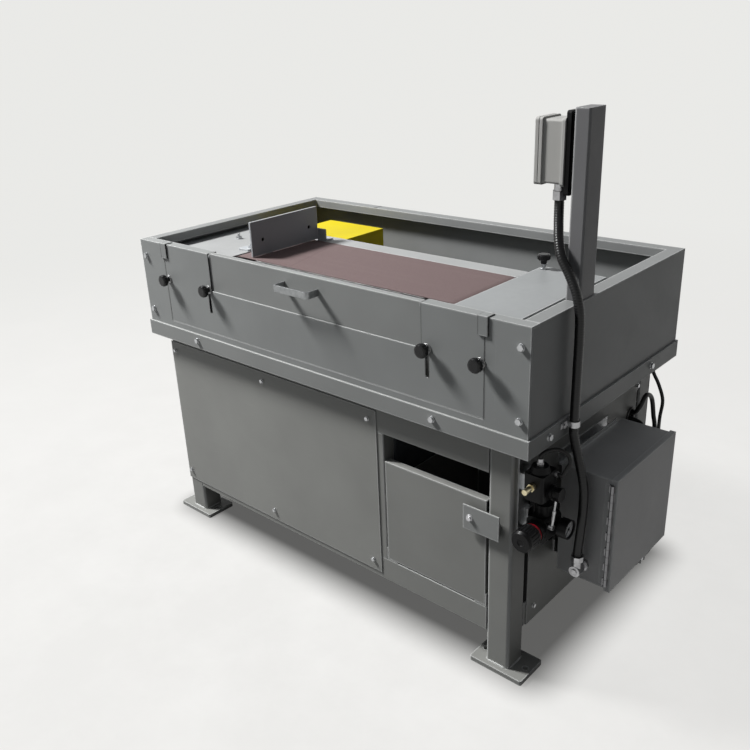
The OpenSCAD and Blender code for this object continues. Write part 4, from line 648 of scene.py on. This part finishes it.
marks, mark_faces = scale_marks(count=51, every=5, inner=0.78 * face_reach, outer=0.93 * face_reach,
                                wide=0.00045)
number_tall, number_reach = 0.0062, 0.58 * face_reach
for value in range(0, top_number + 1, 2):
    ink, polygons = numeral(value, number_tall)
    angle = math.radians(first_angle - sweep * value / top_number)
    ink_y = ink[:, 0] + (pivot_y + number_reach * math.cos(angle))
    ink_z = ink[:, 1] + (pivot_z + number_reach * math.sin(angle))
    mark_faces += [polygon + len(marks) for polygon in polygons]
    marks += np.stack([np.full(len(ink), ink_x), ink_y, ink_z], 1).tolist()
black_print = moulded("black_print", (0.012, 0.012, 0.012), rough=0.4)
piece("gauge_marks", marks, mark_faces, black_print, "base", smooth=False)

# Air tube: a black nylon tube, pushed into a fitting on top of the valve and bent round in a loop to its side
# port. The inlet nipple at the front is turned brass, and the other fittings are black.
air_points = [
    (652, -292.25, 582.3), (652, -292.25, 587.3), (659, -284.25, 596.3), (675, -266.25, 599.3),
    (694, -254.25, 589.3), (702, -254.25, 572.3), (698, -260.25, 558.3), (692, -267.25, 542),
    (687, -268.25, 542), (682.3, -268.25, 542),
]
air_radius = 0.0045
air_path = even(spline(air_points, per=20), step=0.0015)[0]
grid = tube_grid(air_path, air_radius, sides=16, ref=(-0.66, 0.75, 0))
air_tube = piece("air_tube", grid.reshape(-1, 3), grid_faces(*grid.shape[:2]), black_rubber, "base")
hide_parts("air_tubes")
brass = Finish("pale_brass", Metallic=1.0)
cloud = brass.noise(90.0, 4.0, 0.6)
nipple_end = -0.292
nipple = brass.span(brass.axis("Y"), nipple_end, nipple_end + 0.001, 1.0, 0.0)
tarnish = brass.mix(brass.span(cloud, 0.3, 0.7), [0.5, 0.44, 0.28, 1], [0.68, 0.61, 0.42, 1])
fitting_shade = brass.mix(nipple, [0.03, 0.03, 0.03, 1], tarnish)
fitting_gloss = brass.span(cloud, 0.3, 0.7, 0.38, 0.26)
dress(brass.feed(Base_Color=fitting_shade, Roughness=fitting_gloss), "air_fittings")


# Floor: pale sealed concrete with a faint mottle. It takes the machine's shadow near by. Its glow carries a
# painted pool of light, brighter near the middle, and painted shade, dark close round the stand where the stand
# would keep the room's light off it. Further out it goes over into the white of the backdrop.
def ray_kinds(nodes):
    """Two masks: rays straight from the eye, and rays that come by way of gloss or glass."""
    eye, gloss, glass = (nodes.node("ShaderNodeLightPath", out="Is %s Ray" % kind)
                         for kind in ("Camera", "Glossy", "Transmission"))
    return eye, gloss + glass


def floor_finish(white):
    """Pale floor: a glow that the eye and gloss see, mottled by noise, brighter near the middle as a painted
    pool of light, painted dark as shade within a short distance of the stand's rectangle, and fading to white
    far from the middle. Other rays see a plain dark grey."""
    stand_middle, stand_half = (0.025, 0.02, 0), (0.615, 0.31, 0)
    black, bounce_grey = [0, 0, 0, 1], [0.13, 0.13, 0.13, 1]
    # Painted contact shade: the base and the glow close round the stand.
    painted_shade_base, painted_shade_glow = [0.03, 0.03, 0.03, 1], [0.055, 0.055, 0.053, 1]
    base_dark, base_pale = [0.082, 0.081, 0.079, 1], [0.1, 0.099, 0.097, 1]
    painted_pool_near, painted_pool_far, mottle_dark = [0.82, 0.815, 0.8, 1], [0.73, 0.722, 0.708, 1], [0.74, 0.735, 0.72, 1]
    ground = Finish("pale_floor", Roughness=0.9, Specular_IOR_Level=0.0, Emission_Strength=1.0)
    eye, shine = ray_kinds(ground)
    reach = ground.vector("LENGTH", ground.here)
    fade = ground.span(reach, 1.5, 4.5)
    aside = ground.vector("ABSOLUTE", ground.vector("SUBTRACT", ground.here, stand_middle))
    beyond = ground.vector("MAXIMUM", ground.vector("SUBTRACT", aside, stand_half))
    outside_painted_shade = ground.span(ground.vector("LENGTH", beyond), -0.03, 0.14, shape="SMOOTHSTEP")
    mottle = ground.span(ground.noise(2.2, 8.0, 0.7), 0.4, 0.72)
    base = ground.mix(outside_painted_shade, painted_shade_base, ground.mix(mottle, base_dark, base_pale))
    base = ground.mix(fade, base, black)
    # A painted pool of light: the glow is brightest near the middle and dims further out.
    pale = ground.mix(ground.span(reach, 0.7, 1.7), painted_pool_near, painted_pool_far)
    pale = ground.mix(mottle * 0.5, mottle_dark, pale)
    glow = ground.mix(fade, ground.mix(outside_painted_shade, painted_shade_glow, pale), white)
    return ground.feed(Base_Color=ground.mix(eye, bounce_grey, base),
                       Emission_Color=ground.mix(eye + shine, black, glow))


backdrop_white = [0.82, 0.82, 0.8, 1]
half_floor = 30
floor_mesh = bpy.data.meshes.new("floor")
floor_corners = [(-half_floor, -half_floor, 0), (half_floor, -half_floor, 0), (half_floor, half_floor, 0),
                 (-half_floor, half_floor, 0)]
floor_mesh.from_pydata(floor_corners, [], [(0, 1, 2, 3)])
floor_mesh.materials.append(floor_finish(backdrop_white))
floor = bpy.data.objects.new("floor", floor_mesh)
bpy.context.scene.collection.objects.link(floor)

# Studio light: one soft box high on the left, a little to the front, and a dim cool room around it, darkest on
# the right and paler low behind. The eye and bright metal see the white backdrop in place of the room.
scene = bpy.context.scene
scene.view_settings.view_transform = "Standard"
world = bpy.data.worlds.new("room")
scene.world = world
world.use_nodes = True
room = Nodes(world.node_tree)
seen, shine = ray_kinds(room)
way = room.node("ShaderNodeTexCoord", out="Generated")
rightwards, rearwards, upwards = (room.part(way, axis) for axis in "XYZ")
left_grey, right_grey, rear_white = [0.19, 0.2, 0.21, 1], [0.062, 0.062, 0.068, 1], [0.85, 0.85, 0.87, 1]
ceiling_grey = [0.22, 0.22, 0.23, 1]
rear_fill = room.span(rearwards, 0.45, 0.8) * room.span(rightwards, -0.15, 0.1, 1.0, 0.0)
rear_fill = rear_fill * room.span(upwards, 0.1, 0.7, 1.0, 0.0)
dim = room.mix(room.span(rightwards, -0.2, 0.8), left_grey, right_grey)
dim = room.mix(rear_fill, dim, rear_white)
backdrop = room.mix(room.span(upwards, 0.2, 0.8), backdrop_white, ceiling_grey)
room_colour = room.mix(seen + shine, dim, backdrop)
world.node_tree.links.new(room_colour.socket, world.node_tree.nodes["Background"].inputs["Color"])


def stand_at(holder, right, up, back, spot):
    """Puts a lamp or a camera at a spot; its matrix's columns are its right, up and backward directions."""
    holder.matrix_world = Matrix([[right[i], up[i], back[i], spot[i]] for i in range(3)] + [[0, 0, 0, 1]])
    scene.collection.objects.link(holder)


def soft_box(name, spot, aim, size, watts):
    """An area lamp at a spot, turned to the aim: back is the way from aim to spot, and right is level."""
    lamp = bpy.data.lights.new(name, "AREA")
    lamp.shape = "RECTANGLE"
    lamp.size, lamp.size_y = size
    lamp.energy = watts
    back = np.array(spot, float) - np.array(aim, float)
    back /= np.linalg.norm(back)
    right = np.cross((0, 0, 1), back)
    right /= np.linalg.norm(right)
    stand_at(bpy.data.objects.new(name, lamp), right, np.cross(back, right), back, spot)


soft_box("key", spot=(-3.15, -1.575, 4.25), aim=(0, 0, 0.7), size=(0.9, 0.9), watts=450)

# Camera: it stands at the photograph's place, out from the right front corner and a little above the rim.
# Its lens and directions were solved from the straight edges of the stand and the tub.
eye = bpy.data.cameras.new("eye")
eye.lens = 39.897
eye.sensor_width = 36.0
eye.clip_end = 200
viewer = bpy.data.objects.new("eye", eye)
eye_right, eye_up, eye_back = (0.7476, 0.6630, -0.0390), (-0.2314, 0.3151, 0.9204), (0.6225, -0.6791, 0.3890)
stand_at(viewer, eye_right, eye_up, eye_back, spot=(1.4513, -1.6766, 1.4503))
scene.camera = viewer
